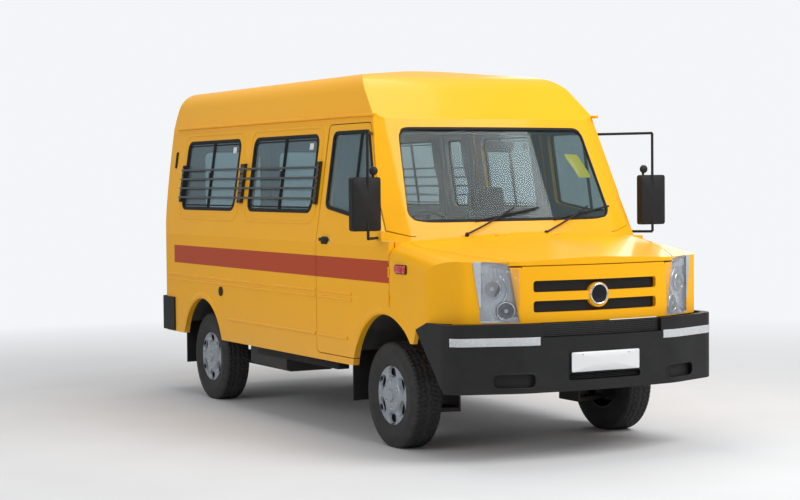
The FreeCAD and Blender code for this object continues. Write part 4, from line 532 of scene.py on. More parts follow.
def round_corners(corners: Array, radii: Array, steps: int = 7) -> Array:
    """Closed outline with each corner turned into an arc.

    The arc's centre lies on the corner's bisector at radius over the sine of half the angle, and
    its points turn evenly from one touching point to the other.

    Args:
        corners: corner points, k by 2.
        radii: one radius for each corner.
        steps: points on each arc.

    Returns:
        The outline's points, k times steps by 2.
    """
    back = unit(np.roll(corners, 1, axis=0) - corners)
    ahead = unit(np.roll(corners, -1, axis=0) - corners)
    half = np.arccos(np.clip((back * ahead).sum(1), -1, 1)) / 2
    size = np.maximum(np.asarray(radii, float), 1e-5)
    centre = corners + unit(back + ahead) * (size / np.sin(half))[:, None]
    reach = (size / np.tan(half))[:, None]
    first = (corners + back * reach - centre) / size[:, None]
    last = (corners + ahead * reach - centre) / size[:, None]
    turn = (math.pi - 2 * half)[:, None, None]
    share = np.linspace(0, 1, steps)[None, :, None]
    arc = (np.sin((1 - share) * turn) * first[:, None] + np.sin(share * turn) * last[:, None])
    arc /= np.sin(turn)
    return (centre[:, None] + arc * size[:, None, None]).reshape(-1, 2)


def resample(points: Array, count: int, closed: bool) -> Array:
    """Evenly spaced points along a line, by its running length.

    Args:
        points: the line's points, n by 2 or 3.
        count: how many points come back.
        closed: whether the line returns to its start.

    Returns:
        The spaced points.
    """
    line = np.vstack([points, points[:1]]) if closed else points
    run = np.concatenate([[0], np.cumsum(np.linalg.norm(np.diff(line, axis=0), axis=1))])
    at = np.linspace(0, run[-1], count + 1)[:-1] if closed else np.linspace(0, run[-1], count)
    return np.stack([np.interp(at, run, line[:, i]) for i in range(line.shape[1])], axis=1)


@dataclass
class Sheetwork:
    """Turns grids of points into Blender pieces that ride on a body with a finish."""

    finishes: Dict[str, bpy.types.Material] = field(default_factory=dict)
    slots: Dict[str, str] = field(default_factory=dict)

    def add_finish(self, key: str, finish: Any) -> None:
        """Build a finish once under a short name."""
        self.finishes[key] = finish.build()
        self.slots[key] = finish.slot

    def piece(self, name: str, points: Array, body: str, finish: str, closed_u: bool = False,
              closed_v: bool = True, caps: bool = True, uv: Optional[Array] = None,
              sharp: float = 35.0, thick: float = 0.0,
              keep: Optional[Array] = None) -> bpy.types.Object:
        """Make a piece from a grid: u runs along it, v round it.

        Args:
            name: the piece's name.
            points: positions, nu by nv by 3, in metres.
            body: the CAD body that it rides on.
            finish: the finish's short name.
            closed_u: whether the last row joins the first.
            closed_v: whether each row is a ring.
            caps: whether open ends of ringed rows are filled to their middle.
            uv: a UV for each point, nu by nv by 2, in metres.
            sharp: angle in degrees above which an edge stays crisp.
            thick: wall given to an open sheet, in metres.
            keep: which of the grid's faces are made, where some are left open.

        Returns:
            The piece.
        """
        if caps and closed_v and not closed_u:
            ends = [np.repeat(points[i:i + 1].mean(1, keepdims=True), points.shape[1], 1)
                    for i in (0, len(points) - 1)]
            points = np.concatenate([ends[0], points, ends[1]])
            if uv is not None:
                uv = np.concatenate([uv[:1], uv, uv[-1:]])
        nu, nv = points.shape[:2]
        iu = np.arange(nu if closed_u else nu - 1)[:, None]
        iv = np.arange(nv if closed_v else nv - 1)[None, :]
        ju, jv = (iu + 1) % nu, (iv + 1) % nv
        quads = np.stack([iu * nv + iv, ju * nv + iv, ju * nv + jv, iu * nv + jv], -1).reshape(-1, 4)
        if keep is not None:
            quads = quads[keep.reshape(-1)]
        mesh = bpy.data.meshes.new(name)
        mesh.vertices.add(nu * nv)
        mesh.vertices.foreach_set("co", points.reshape(-1).astype(np.float32))
        mesh.loops.add(quads.size)
        mesh.loops.foreach_set("vertex_index", quads.reshape(-1).astype(np.int32))
        mesh.polygons.add(len(quads))
        mesh.polygons.foreach_set("loop_start", np.arange(0, quads.size, 4, dtype=np.int32))
        if uv is not None:
            layer = mesh.uv_layers.new(name="UVMap")
            layer.data.foreach_set("uv", uv.reshape(-1, 2)[quads.reshape(-1)].reshape(-1).astype(
                np.float32))
        mesh.update(calc_edges=True)
        return self.dress(name, mesh, body, finish, sharp, thick)

    def dress(self, name: str, mesh: bpy.types.Mesh, body: str, finish: str,
              sharp: float = 35.0, thick: float = 0.0) -> bpy.types.Object:
        """Weld a mesh, turn its faces outwards, shade it, place it on its body.

        Args:
            name: the piece's name.
            mesh: its mesh, in metres.
            body: the CAD body that it rides on.
            finish: the finish's short name.
            sharp: angle in degrees above which an edge stays crisp.
            thick: wall given to an open sheet, in metres.

        Returns:
            The piece.
        """
        work = bmesh.new()
        work.from_mesh(mesh)
        bmesh.ops.remove_doubles(work, verts=work.verts, dist=2e-6)
        bmesh.ops.dissolve_degenerate(work, edges=work.edges, dist=1e-7)
        bmesh.ops.recalc_face_normals(work, faces=work.faces)
        work.to_mesh(mesh)
        work.free()
        mesh.polygons.foreach_set("use_smooth", np.ones(len(mesh.polygons), bool))
        mesh.set_sharp_from_angle(angle=math.radians(sharp))
        mesh.materials.append(self.finishes[finish])
        piece = bpy.data.objects.new(name, mesh)
        bpy.context.scene.collection.objects.link(piece)
        if thick:
            wall = piece.modifiers.new("wall", "SOLIDIFY")
            wall.thickness = thick
            wall.offset = 0.0
        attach(piece, body)
        LOG.info("%s: %d faces on %s", name, len(mesh.polygons), body)
        return piece

    def join(self, name: str, parts: Sequence[bpy.types.Object]) -> bpy.types.Object:
        """Make one piece of several that share a body, each keeping its finish."""
        for item in bpy.context.selected_objects:
            item.select_set(False)
        for item in parts:
            item.select_set(True)
        bpy.context.view_layer.objects.active = parts[0]
        bpy.ops.object.join()
        parts[0].name = name
        parts[0].data.name = name
        return parts[0]

    def sweep(self, name: str, path: Array, out: Array, profile: Array, body: str, finish: str,
              closed: bool = True, sharp: float = 50.0) -> bpy.types.Object:
        """Carry a profile along a path.

        Each ring stands across the path: its first coordinate goes sideways, along the cross
        product of the path's direction and the outward way, and its second goes outwards.

        Args:
            name: the piece's name.
            path: points of the path, n by 3.
            out: outward ways, n by 3 or one way.
            profile: ring, k by 2, in metres.
            body: the CAD body that it rides on.
            finish: the finish's short name.
            closed: whether the path returns to its start.
            sharp: angle in degrees above which an edge stays crisp.

        Returns:
            The piece.
        """
        if closed:
            along = unit(np.roll(path, -1, 0) - np.roll(path, 1, 0))
        else:
            along = unit(np.gradient(path, axis=0))
        sideways = unit(np.cross(along, unit(np.broadcast_to(out, path.shape))))
        rise = np.cross(sideways, along)
        points = path[:, None] + profile[None, :, 0, None] * sideways[:, None] + (
            profile[None, :, 1, None] * rise[:, None])
        return self.piece(name, points, body, finish, closed_u=closed, sharp=sharp)

    def lathe(self, name: str, profile: Array, centre: Array, axis: Array, body: str, finish: str,
              steps: int = 48, sharp: float = 35.0) -> bpy.types.Object:
        """Turn a profile of radius and height about an axis.

        Args:
            name: the piece's name.
            profile: radius and height along the axis, k by 2.
            centre: a point on the axis.
            axis: the axis's direction.
            body: the CAD body that it rides on.
            finish: the finish's short name.
            steps: points round.
            sharp: angle in degrees above which an edge stays crisp.

        Returns:
            The piece.
        """
        axis = np.asarray(axis, float) / np.linalg.norm(axis)
        first = np.cross(axis, [0.0, 0.0, 1.0] if abs(axis[2]) < 0.9 else [1.0, 0.0, 0.0])
        first /= np.linalg.norm(first)
        second = np.cross(axis, first)
        angle = np.linspace(0, 2 * math.pi, steps, endpoint=False)
        ring = np.cos(angle)[:, None] * first + np.sin(angle)[:, None] * second
        points = np.asarray(centre) + profile[:, None, 0, None] * ring[None] + (
            profile[:, None, 1, None] * axis)
        return self.piece(name, points, body, finish, sharp=sharp)

    def plate(self, name: str, outline: Array, low: float, high: float, edge: float, lay: Lay,
              body: str, finish: str, dome: float = 0.0) -> bpy.types.Object:
        """Flat slab with rounded rims, laid on a surface.

        At each face the outline is drawn in by edge times one minus the sine of a turn, while it
        lies edge times one minus the cosine from that face; dome lifts the outer face's middle.

        Args:
            name: the piece's name.
            outline: closed outline, n by 2.
            low: inner height above the surface.
            high: outer height above the surface.
            edge: radius of the rims.
            lay: function of first, second coordinate and height that gives points.
            body: the CAD body that it rides on.
            finish: the finish's short name.
            dome: extra height of the outer face's middle.

        Returns:
            The piece.
        """
        middle = outline.mean(0)
        turn = np.linspace(0, math.pi / 2, 4)
        inset = np.concatenate([edge * (1 - np.sin(turn)), edge * (1 - np.cos(turn))])
        height = np.concatenate([low + edge * (1 - np.cos(turn)), high - edge * (1 - np.sin(turn))])
        reach = np.abs(outline - middle).max()
        fill = np.array([0.75, 0.5, 0.25, 0.0]) if dome else np.array([])
        scale = np.concatenate([1 - inset / reach, (1 - edge / reach) * fill])
        height = np.concatenate([height, high + dome * (1 - fill ** 2)])
        flat = middle + (outline - middle)[None] * scale[:, None, None]
        tall = np.broadcast_to(height[:, None], flat.shape[:2])
        return self.piece(name, lay(flat[..., 0], flat[..., 1], tall), body, finish)


@dataclass(frozen=True)
class Walls:
    """The shell's outer faces, as functions that give positions."""

    half: float = 0.9875
    waist: float = 1.300
    slope: float = 0.1441
    rear: float = -2.485
    screen_x: float = 1.500
    screen_z: float = 1.400
    screen_lean: float = 0.4559
    screen_ahead: float = 0.032
    screen_bow: float = 10.0

    def y(self, z: Array) -> Array:
        """Half width at a height: constant to the waist, then falling by the slope."""
        return self.half - np.maximum(np.asarray(z, float) - self.waist, 0) * self.slope

    def side(self, sign: float) -> Lay:
        """Lay for x, z and height out from a side wall.

        Args:
            sign: minus one for the right wall, one for the left.

        Returns:
            A function that gives points.
        """
        def lay(x: Array, z: Array, out: Array) -> Array:
            """Position on the wall."""
            return np.stack(np.broadcast_arrays(x, sign * (self.y(z) + out), z), -1)
        return lay

    def back(self, y: Array, z: Array, out: Array) -> Array:
        """Position on the rear face."""
        return np.stack(np.broadcast_arrays(self.rear - np.asarray(out), y, z), -1)

    def screen(self, y: Array, z: Array, out: Array = 0.0) -> Array:
        """Position on the windscreen: it leans back with height and bows by y squared."""
        x = self.screen_x - (np.asarray(z) - self.screen_z) * self.screen_lean + (
            self.screen_ahead) - np.asarray(y) ** 2 / self.screen_bow
        rise = np.asarray(z) + np.asarray(out) * self.screen_lean
        return np.stack(np.broadcast_arrays(x + out, y, rise), -1)


WALLS = Walls()
NOSE_PLAN = resample(round_corners(np.array([
    (1.555, -0.9875), (2.040, -0.9875), (2.262, -0.880), (2.402, -0.560), (2.459, 0.0),
    (2.402, 0.560), (2.262, 0.880), (2.040, 0.9875), (1.555, 0.9875)]),
    np.array([0.001, 0.13, 0.13, 0.42, 2.4, 0.42, 0.13, 0.13, 0.001]), 12), 800, True)
BUMPER_PLAN = round_corners(np.array([
    (1.850, -0.992), (2.315, -0.992), (2.478, -0.560), (2.535, 0.0), (2.478, 0.560),
    (2.315, 0.992), (1.850, 0.992)]), np.array([0.001, 0.15, 0.42, 2.4, 0.42, 0.15, 0.001]), 12)


def upright(x: float, way: float) -> Lay:
    """Lay for y, z and height on an upright plane that faces forward (1) or back (-1)."""
    def lay(y: Array, z: Array, out: Array) -> Array:
        """Position on the plane."""
        return np.stack(np.broadcast_arrays(x + way * np.asarray(out), y, z), -1)
    return lay


def surface_line(lay: Lay, first: Array, second: Array, level: Any = 0.0) -> Tuple[Array, Array]:
    """Path over a surface, and the ways outwards from it.

    Args:
        lay: function that gives points on the surface.
        first: the path's first coordinates.
        second: its second coordinates.
        level: its height above the surface, one for all points or one for each.

    Returns:
        The path and the outward ways, each n by 3.
    """
    level = np.broadcast_to(level, first.shape)
    path = lay(first, second, level)
    return path, lay(first, second, level + OUTWARD_STEP) - path


def plan_x(plan: Array, y: Array) -> Array:
    """How far forward a plan reaches at a place across: the larger x found by interpolation."""
    front = plan[plan[:, 0] > 2.0]
    order = np.argsort(front[:, 1])
    return np.interp(y, front[order, 1], front[order, 0])


def bead(width: float, height: float, steps: int = 9, sink: float = 0.004) -> Array:
    """Half-round profile: cosine across, sine outwards, with a sunk flat back.

    Args:
        width: overall width.
        height: how far it stands proud.
        steps: points on the round.
        sink: how far the back lies under the surface.

    Returns:
        The ring, k by 2.
    """
    angle = np.linspace(0, math.pi, steps)
    arc = np.stack([np.cos(angle) * width / 2, np.sin(angle) * height], 1)
    return np.vstack([arc, [(-width / 2, -sink), (width / 2, -sink)]])


def rectangle(low: Tuple[float, float], high: Tuple[float, float], radius: float,
              steps: int = 7) -> Array:
    """Rounded rectangle between two corners."""
    corners = np.array([low, (high[0], low[1]), high, (low[0], high[1])], float)
    return round_corners(corners, np.full(4, radius), steps)


@dataclass
class Windows:
    """Rubber seals, sliding sashes and dividers of all side, door, rear and front windows."""

    works: Sheetwork
    low: float = 1.510
    high: float = 2.035
    corner: float = 0.060
    seal: float = 0.026
    proud: float = 0.008
    panes: Tuple[Tuple[str, str, float, float], ...] = (
        ("right", "body", -2.090, -1.030), ("right", "body", -0.757, 0.340),
        ("left", "body", -2.090, -1.030), ("left", "body", -0.930, -0.560),
        ("left", "entry_door", -0.375, 0.325))

    def build(self) -> None:
        """Dress every window."""
        for number, (side, body, rear, front) in enumerate(self.panes):
            sign = SIDES[side]
            lay = WALLS.side(sign)
            outline = resample(rectangle((rear, self.low), (front, self.high), self.corner), 120, True)
            self.seal_ring("seal_%s_%d" % (side, number), outline, lay, body)
            if front - rear > 0.6:
                self.sash("sash_%s_%d" % (side, number), rear, front, lay, body)
        door = np.array([(0.580, 1.545), (1.000, 1.490), (1.335, 1.490), (1.095, 2.045),
                         (0.580, 2.045)])
        for side, body in FRONT_DOORS.items():
            lay = WALLS.side(SIDES[side])
            outline = resample(round_corners(door, np.array([0.04, 0.2, 0.04, 0.04, 0.04])), 130,
                               True)
            self.seal_ring("seal_%s_door" % side, outline, lay, body)
            self.post("quarter_bar_%s" % side, 0.985, 1.500, 2.036, lay, body, 0.026)
        for side, sign in SIDES.items():
            outline = resample(rectangle((0.075, 1.480), (0.610, 1.980), self.corner), 110, True)
            outline[:, 0] *= sign
            self.seal_ring("seal_rear_" + side, outline, WALLS.back, "rear_door_" + side)
        self.screen_seal()

    def seal_ring(self, name: str, outline: Array, lay: Lay, body: str) -> None:
        """Black rubber round a pane, lapping the skin.

        Args:
            name: the piece's name.
            outline: the pane's outline, n by 2.
            lay: function that gives points on the surface.
            body: the body that carries it.
        """
        path, out = surface_line(lay, outline[:, 0], outline[:, 1])
        self.works.sweep(name, path, out, bead(self.seal, self.proud, sink=0.016), body, "rubber")

    def post(self, name: str, x: float, low: float, high: float, lay: Lay, body: str,
             width: float = 0.030, depth: float = 0.004) -> None:
        """Upright bar on a pane at one place along the vehicle."""
        z = np.linspace(low, high, 24)
        path, out = surface_line(lay, np.full_like(z, x), z, -0.010)
        self.works.sweep(name, path, out, bead(width, depth + 0.010, sink=0.001), body, "rubber",
                         closed=False)

    def sash(self, name: str, rear: float, front: float, lay: Lay, body: str) -> None:
        """Frame of the sliding pane, its overlap posts, blank label and finger catch."""
        middle = (rear + front) / 2
        self.post(name + "_post_a", middle, self.low + 0.01, self.high - 0.01, lay, body, 0.020)
        self.post(name + "_post_b", middle + 0.018, self.low + 0.01, self.high - 0.01, lay, body,
                  0.012, 0.000)
        inset = 0.028
        inner = resample(rectangle((rear + inset, self.low + inset),
                                   (front - inset, self.high - inset), self.corner - 0.02), 110,
                         True)
        path, out = surface_line(lay, inner[:, 0], inner[:, 1], -0.008)
        self.works.sweep(name + "_frame", path, out, bead(0.010, 0.004, 5, 0.001), body, "rubber")
        blank = rectangle((front - 0.150, self.high - 0.095), (front - 0.085, self.high - 0.050),
                          0.004, 3)
        self.works.plate(name + "_label", blank, -0.0075, -0.0065, 0.0003, lay, body, "plate_white")
        catch = rectangle((middle - 0.024, 1.735), (middle, 1.795), 0.006, 4)
        self.works.plate(name + "_catch", catch, -0.006, 0.010, 0.003, lay, body, "gloss_black")

    def screen_seal(self) -> None:
        """Rubber round the windscreen and the dark band along its top."""
        outline = round_corners(np.array([(-0.790, 1.455), (0.790, 1.455), (0.718, 2.062),
                                          (-0.718, 2.062)]), np.full(4, 0.07), 9)
        outline = resample(outline, 160, True)
        path = WALLS.screen(outline[:, 0], outline[:, 1], 0.0)
        self.works.sweep("screen_seal", path, np.array([0.91, 0.0, 0.41]),
                         bead(0.022, 0.004, sink=0.012), "body", "rubber")
        y, z = np.broadcast_arrays(np.linspace(-0.712, 0.712, 40)[None, :],
                                   2.030 + np.linspace(0, 1, 4)[:, None] * 0.030)
        grid = WALLS.screen(y, z, -0.0185)
        self.works.piece("screen_shade_band", grid, "body", "gloss_black", closed_v=False,
                         thick=0.0012)


@dataclass
class SideTrim:
    """Handles, pressed lines and rims, wheel lips, gutters, repeaters, steps and vents."""

    works: Sheetwork
    groove_low: float = 0.934
    groove_high: float = 0.973
    crease_z: float = 0.675
    lip_half: float = 0.9870
    step_half: float = 0.80

    def build(self) -> None:
        """Make the trim of both sides."""
        for side, sign in SIDES.items():
            lay = WALLS.side(sign)
            self.pressings(side, lay)
            self.repeater(side, sign)
            self.vent(side, lay)
            self.gutter(side, sign)
            self.flares(side, sign)
            self.surrounds(side, lay)
        right, left = WALLS.side(Side.RIGHT.value), WALLS.side(Side.LEFT.value)
        self.handle("handle_driver", 0.615, 1.318, right, "driver_door")
        self.handle("handle_front_passenger", 0.615, 1.318, left, "front_passenger_door")
        self.handle("handle_entry", -0.400, 1.215, left, "entry_door")
        self.sill_box()
        self.guard_detail()

    def flares(self, side: str, sign: float) -> None:
        """Rolled yellow lips over both wheel openings.

        The lip follows the opening's arc; its height out is a sine of the place along it, so it
        dies away at both ends.
        """
        for label, cx, cz, radius, start, end in (
                ("front", 1.475, 0.420, 0.450, 0.96, 2.62),
                ("rear", -1.610, 0.400, 0.405, 0.30, 2.74)):
            turn = np.linspace(start, end, 60)
            swell = np.sin(np.linspace(0, math.pi, 60)) ** 0.35
            x = cx + (radius + 0.024) * np.cos(turn)
            z = cz + (radius + 0.024) * np.sin(turn)
            path = np.stack([x, np.full(60, sign * self.lip_half), z], 1)
            ring = np.array([(-0.029, -0.004), (0.029, -0.004), (0.022, 0.004), (0.008, 0.011),
                             (-0.012, 0.012), (-0.024, 0.007)])
            out = np.array([0.0, sign, 0.0])
            across = np.stack([np.cos(turn), np.zeros(60), np.sin(turn)], 1)
            points = path[:, None] + across[:, None] * ring[None, :, 0, None] + (
                out * np.maximum(ring[None, :, 1, None] * swell[:, None, None], -0.004))
            self.works.piece("arch_lip_%s_%s" % (label, side), points, "body", "paint",
                             sharp=50.0)

    def line(self, name: str, x0: float, x1: float, z: float, lay: Lay, body: str,
             width: float = 0.020, height: float = 0.0065) -> None:
        """Low raised line pressed along a panel."""
        x = np.linspace(x0, x1, max(6, int(abs(x1 - x0) / 0.05)))
        path, out = surface_line(lay, x, np.full_like(x, z))
        self.works.sweep(name, path, out, bead(width, height, 7, 0.002), body, "paint",
                         closed=False)

    def pressings(self, side: str, lay: Lay) -> None:
        """Waist groove edges and the lower crease on walls and doors."""
        wall_end = -0.480 if side == "left" else 0.468
        door = FRONT_DOORS[side]
        spans = [("body", "wall", -2.33, wall_end), ("entry_door", "entry", -0.430, 0.405),
                 (door, "door", 0.500, 1.02)]
        low_spans = [("body", "a", -1.12, wall_end), ("entry_door", "b", -0.430, 0.405),
                     (door, "c", 0.500, 0.957)]
        if side == "right":
            del spans[1], low_spans[1]
        for body, label, rear, front in spans:
            for i, z in enumerate((self.groove_low, self.groove_high)):
                self.line("crease_%s_%s_%d" % (side, label, i), rear, front, z, lay, body)
        for body, label, rear, front in low_spans:
            self.line("low_crease_%s_%s" % (side, label), rear, front, self.crease_z, lay, body,
                      0.026, 0.0085)

    def handle(self, name: str, x: float, z: float, lay: Lay, body: str) -> None:
        """Black pull handle in a shallow cup, with a key barrel."""
        cup = rectangle((x - 0.052, z - 0.026), (x + 0.052, z + 0.026), 0.018)
        pieces = [self.works.plate(name + "_cup", cup, -0.002, 0.005, 0.003, lay, body,
                                   "black_plastic")]
        grip = np.array([(x - 0.066, z + 0.004), (x - 0.04, z + 0.007), (x, z + 0.009),
                         (x + 0.04, z + 0.007), (x + 0.066, z + 0.004)])
        path = resample(grip, 18, False)
        lift = 0.006 + 0.016 * np.sin(np.linspace(0, math.pi, 18)) ** 0.5
        points, out = surface_line(lay, path[:, 0], path[:, 1], lift)
        ring = rectangle((-0.011, -0.006), (0.011, 0.006), 0.005, 4)
        pieces.append(self.works.sweep(name + "_grip", points, out, ring, body, "black_plastic",
                                       closed=False))
        disc = round_corners(np.array([(x + 0.086, z - 0.009), (x + 0.104, z - 0.009),
                                       (x + 0.104, z + 0.009), (x + 0.086, z + 0.009)]),
                             np.full(4, 0.0089), 6)
        pieces.append(self.works.plate(name + "_lock", disc, -0.002, 0.004, 0.001, lay, body,
                                       "chrome"))
        self.works.join(name, pieces)

    def repeater(self, side: str, sign: float) -> None:
        """Red side repeater of two lenses on the wing."""
        lay = WALLS.side(sign)
        base = rectangle((1.640, 1.134), (1.790, 1.192), 0.012)
        parts = [self.works.plate("repeater_base", base, -0.002, 0.008, 0.003, lay, "body",
                                  "black_plastic"),
                 self.works.plate("repeater_lens", rectangle((1.647, 1.140), (1.742, 1.187), 0.009),
                                  0.006, 0.020, 0.005, lay, "body", "red_lens", 0.004),
                 self.works.plate("repeater_clear", rectangle((1.746, 1.140), (1.784, 1.187),
                                                              0.009),
                                  0.006, 0.017, 0.004, lay, "body", "red_lens", 0.002)]
        self.works.join("repeater_" + side, parts)

    def vent(self, side: str, lay: Lay) -> None:
        """Slotted black air vent near the upper rear corner."""
        parts = [self.works.plate("vent_plate", rectangle((-2.350, 1.835), (-2.312, 1.968), 0.010),
                                  -0.002, 0.006, 0.003, lay, "body", "black_plastic")]
        for i in range(6):
            z = 1.850 + 0.0205 * i
            parts.append(self.works.plate("vent_slat", rectangle((-2.345, z), (-2.317, z + 0.009),
                                                                 0.003, 4),
                                          0.004, 0.010, 0.002, lay, "body", "rubber"))
        self.works.join("vent_" + side, parts)

    def surrounds(self, side: str, lay: Lay) -> None:
        """Raised rolled rim pressed into the skin round the wide side windows."""
        spans = {"right": ((-2.155, -0.965), (-0.822, 0.405)), "left": ((-2.155, -0.965),)}[side]
        for number, (rear, front) in enumerate(spans):
            outline = resample(rectangle((rear, 1.432), (front, 2.095), 0.085), 150, True)
            path, out = surface_line(lay, outline[:, 0], outline[:, 1])
            self.works.sweep("window_rim_%s_%d" % (side, number), path, out,
                             bead(0.024, 0.006, 9, 0.002), "body", "paint")

    def gutter(self, side: str, sign: float) -> None:
        """Rain gutter that runs along the roof edge and dips a little at its front."""
        x = np.concatenate([np.linspace(-2.36, 0.90, 60), np.linspace(0.93, 1.17, 12)])
        z = np.where(x < 0.9, 2.1555, 2.1555 - (x - 0.9) * 0.02)
        y = sign * WALLS.y(z)
        path = np.stack([x, y, z], 1)
        ring = rectangle((-0.010, -0.002), (0.010, 0.018), 0.005, 4)
        self.works.sweep("gutter_" + side, path, np.array([0.0, sign, 0.12]), ring, "body", "paint",
                         closed=False)

    def sill_box(self) -> None:
        """Dark step under the sill of each side."""
        for side, sign in SIDES.items():
            outline = rectangle((-0.77, 0.430), (0.61, 0.500), 0.012, 4)

            def lay(x: Array, z: Array, out: Array, sign: float = sign) -> Array:
                """Upright face a little inside the wall."""
                return np.stack(np.broadcast_arrays(x, sign * (self.step_half + out), z), -1)
            self.works.plate("sill_step_" + side, outline, 0.0, 0.085, 0.010, lay, "body", "rubber")

    def guard_detail(self) -> None:
        """Bolt heads on the upright strips of the window guards."""
        for side, sign in SIDES.items():
            lay = WALLS.side(sign)
            places = [-2.107, -0.911, -0.876, 0.423] if side == "right" else [-2.107, -0.577]
            parts = []
            for x in places:
                for z in (1.575, 1.636, 1.708, 1.780, 1.842):
                    centre = lay(np.array(x), np.array(z), np.array(0.0285))
                    profile = np.array([(0.007, -0.004), (0.007, 0.001), (0.0045, 0.0035)])
                    parts.append(self.works.lathe("guard_bolt", profile, centre,
                                                  np.array([0.0, sign, 0.14]), "body",
                                                  "guard_steel", 6))
            self.works.join("guard_bolts_" + side, parts)


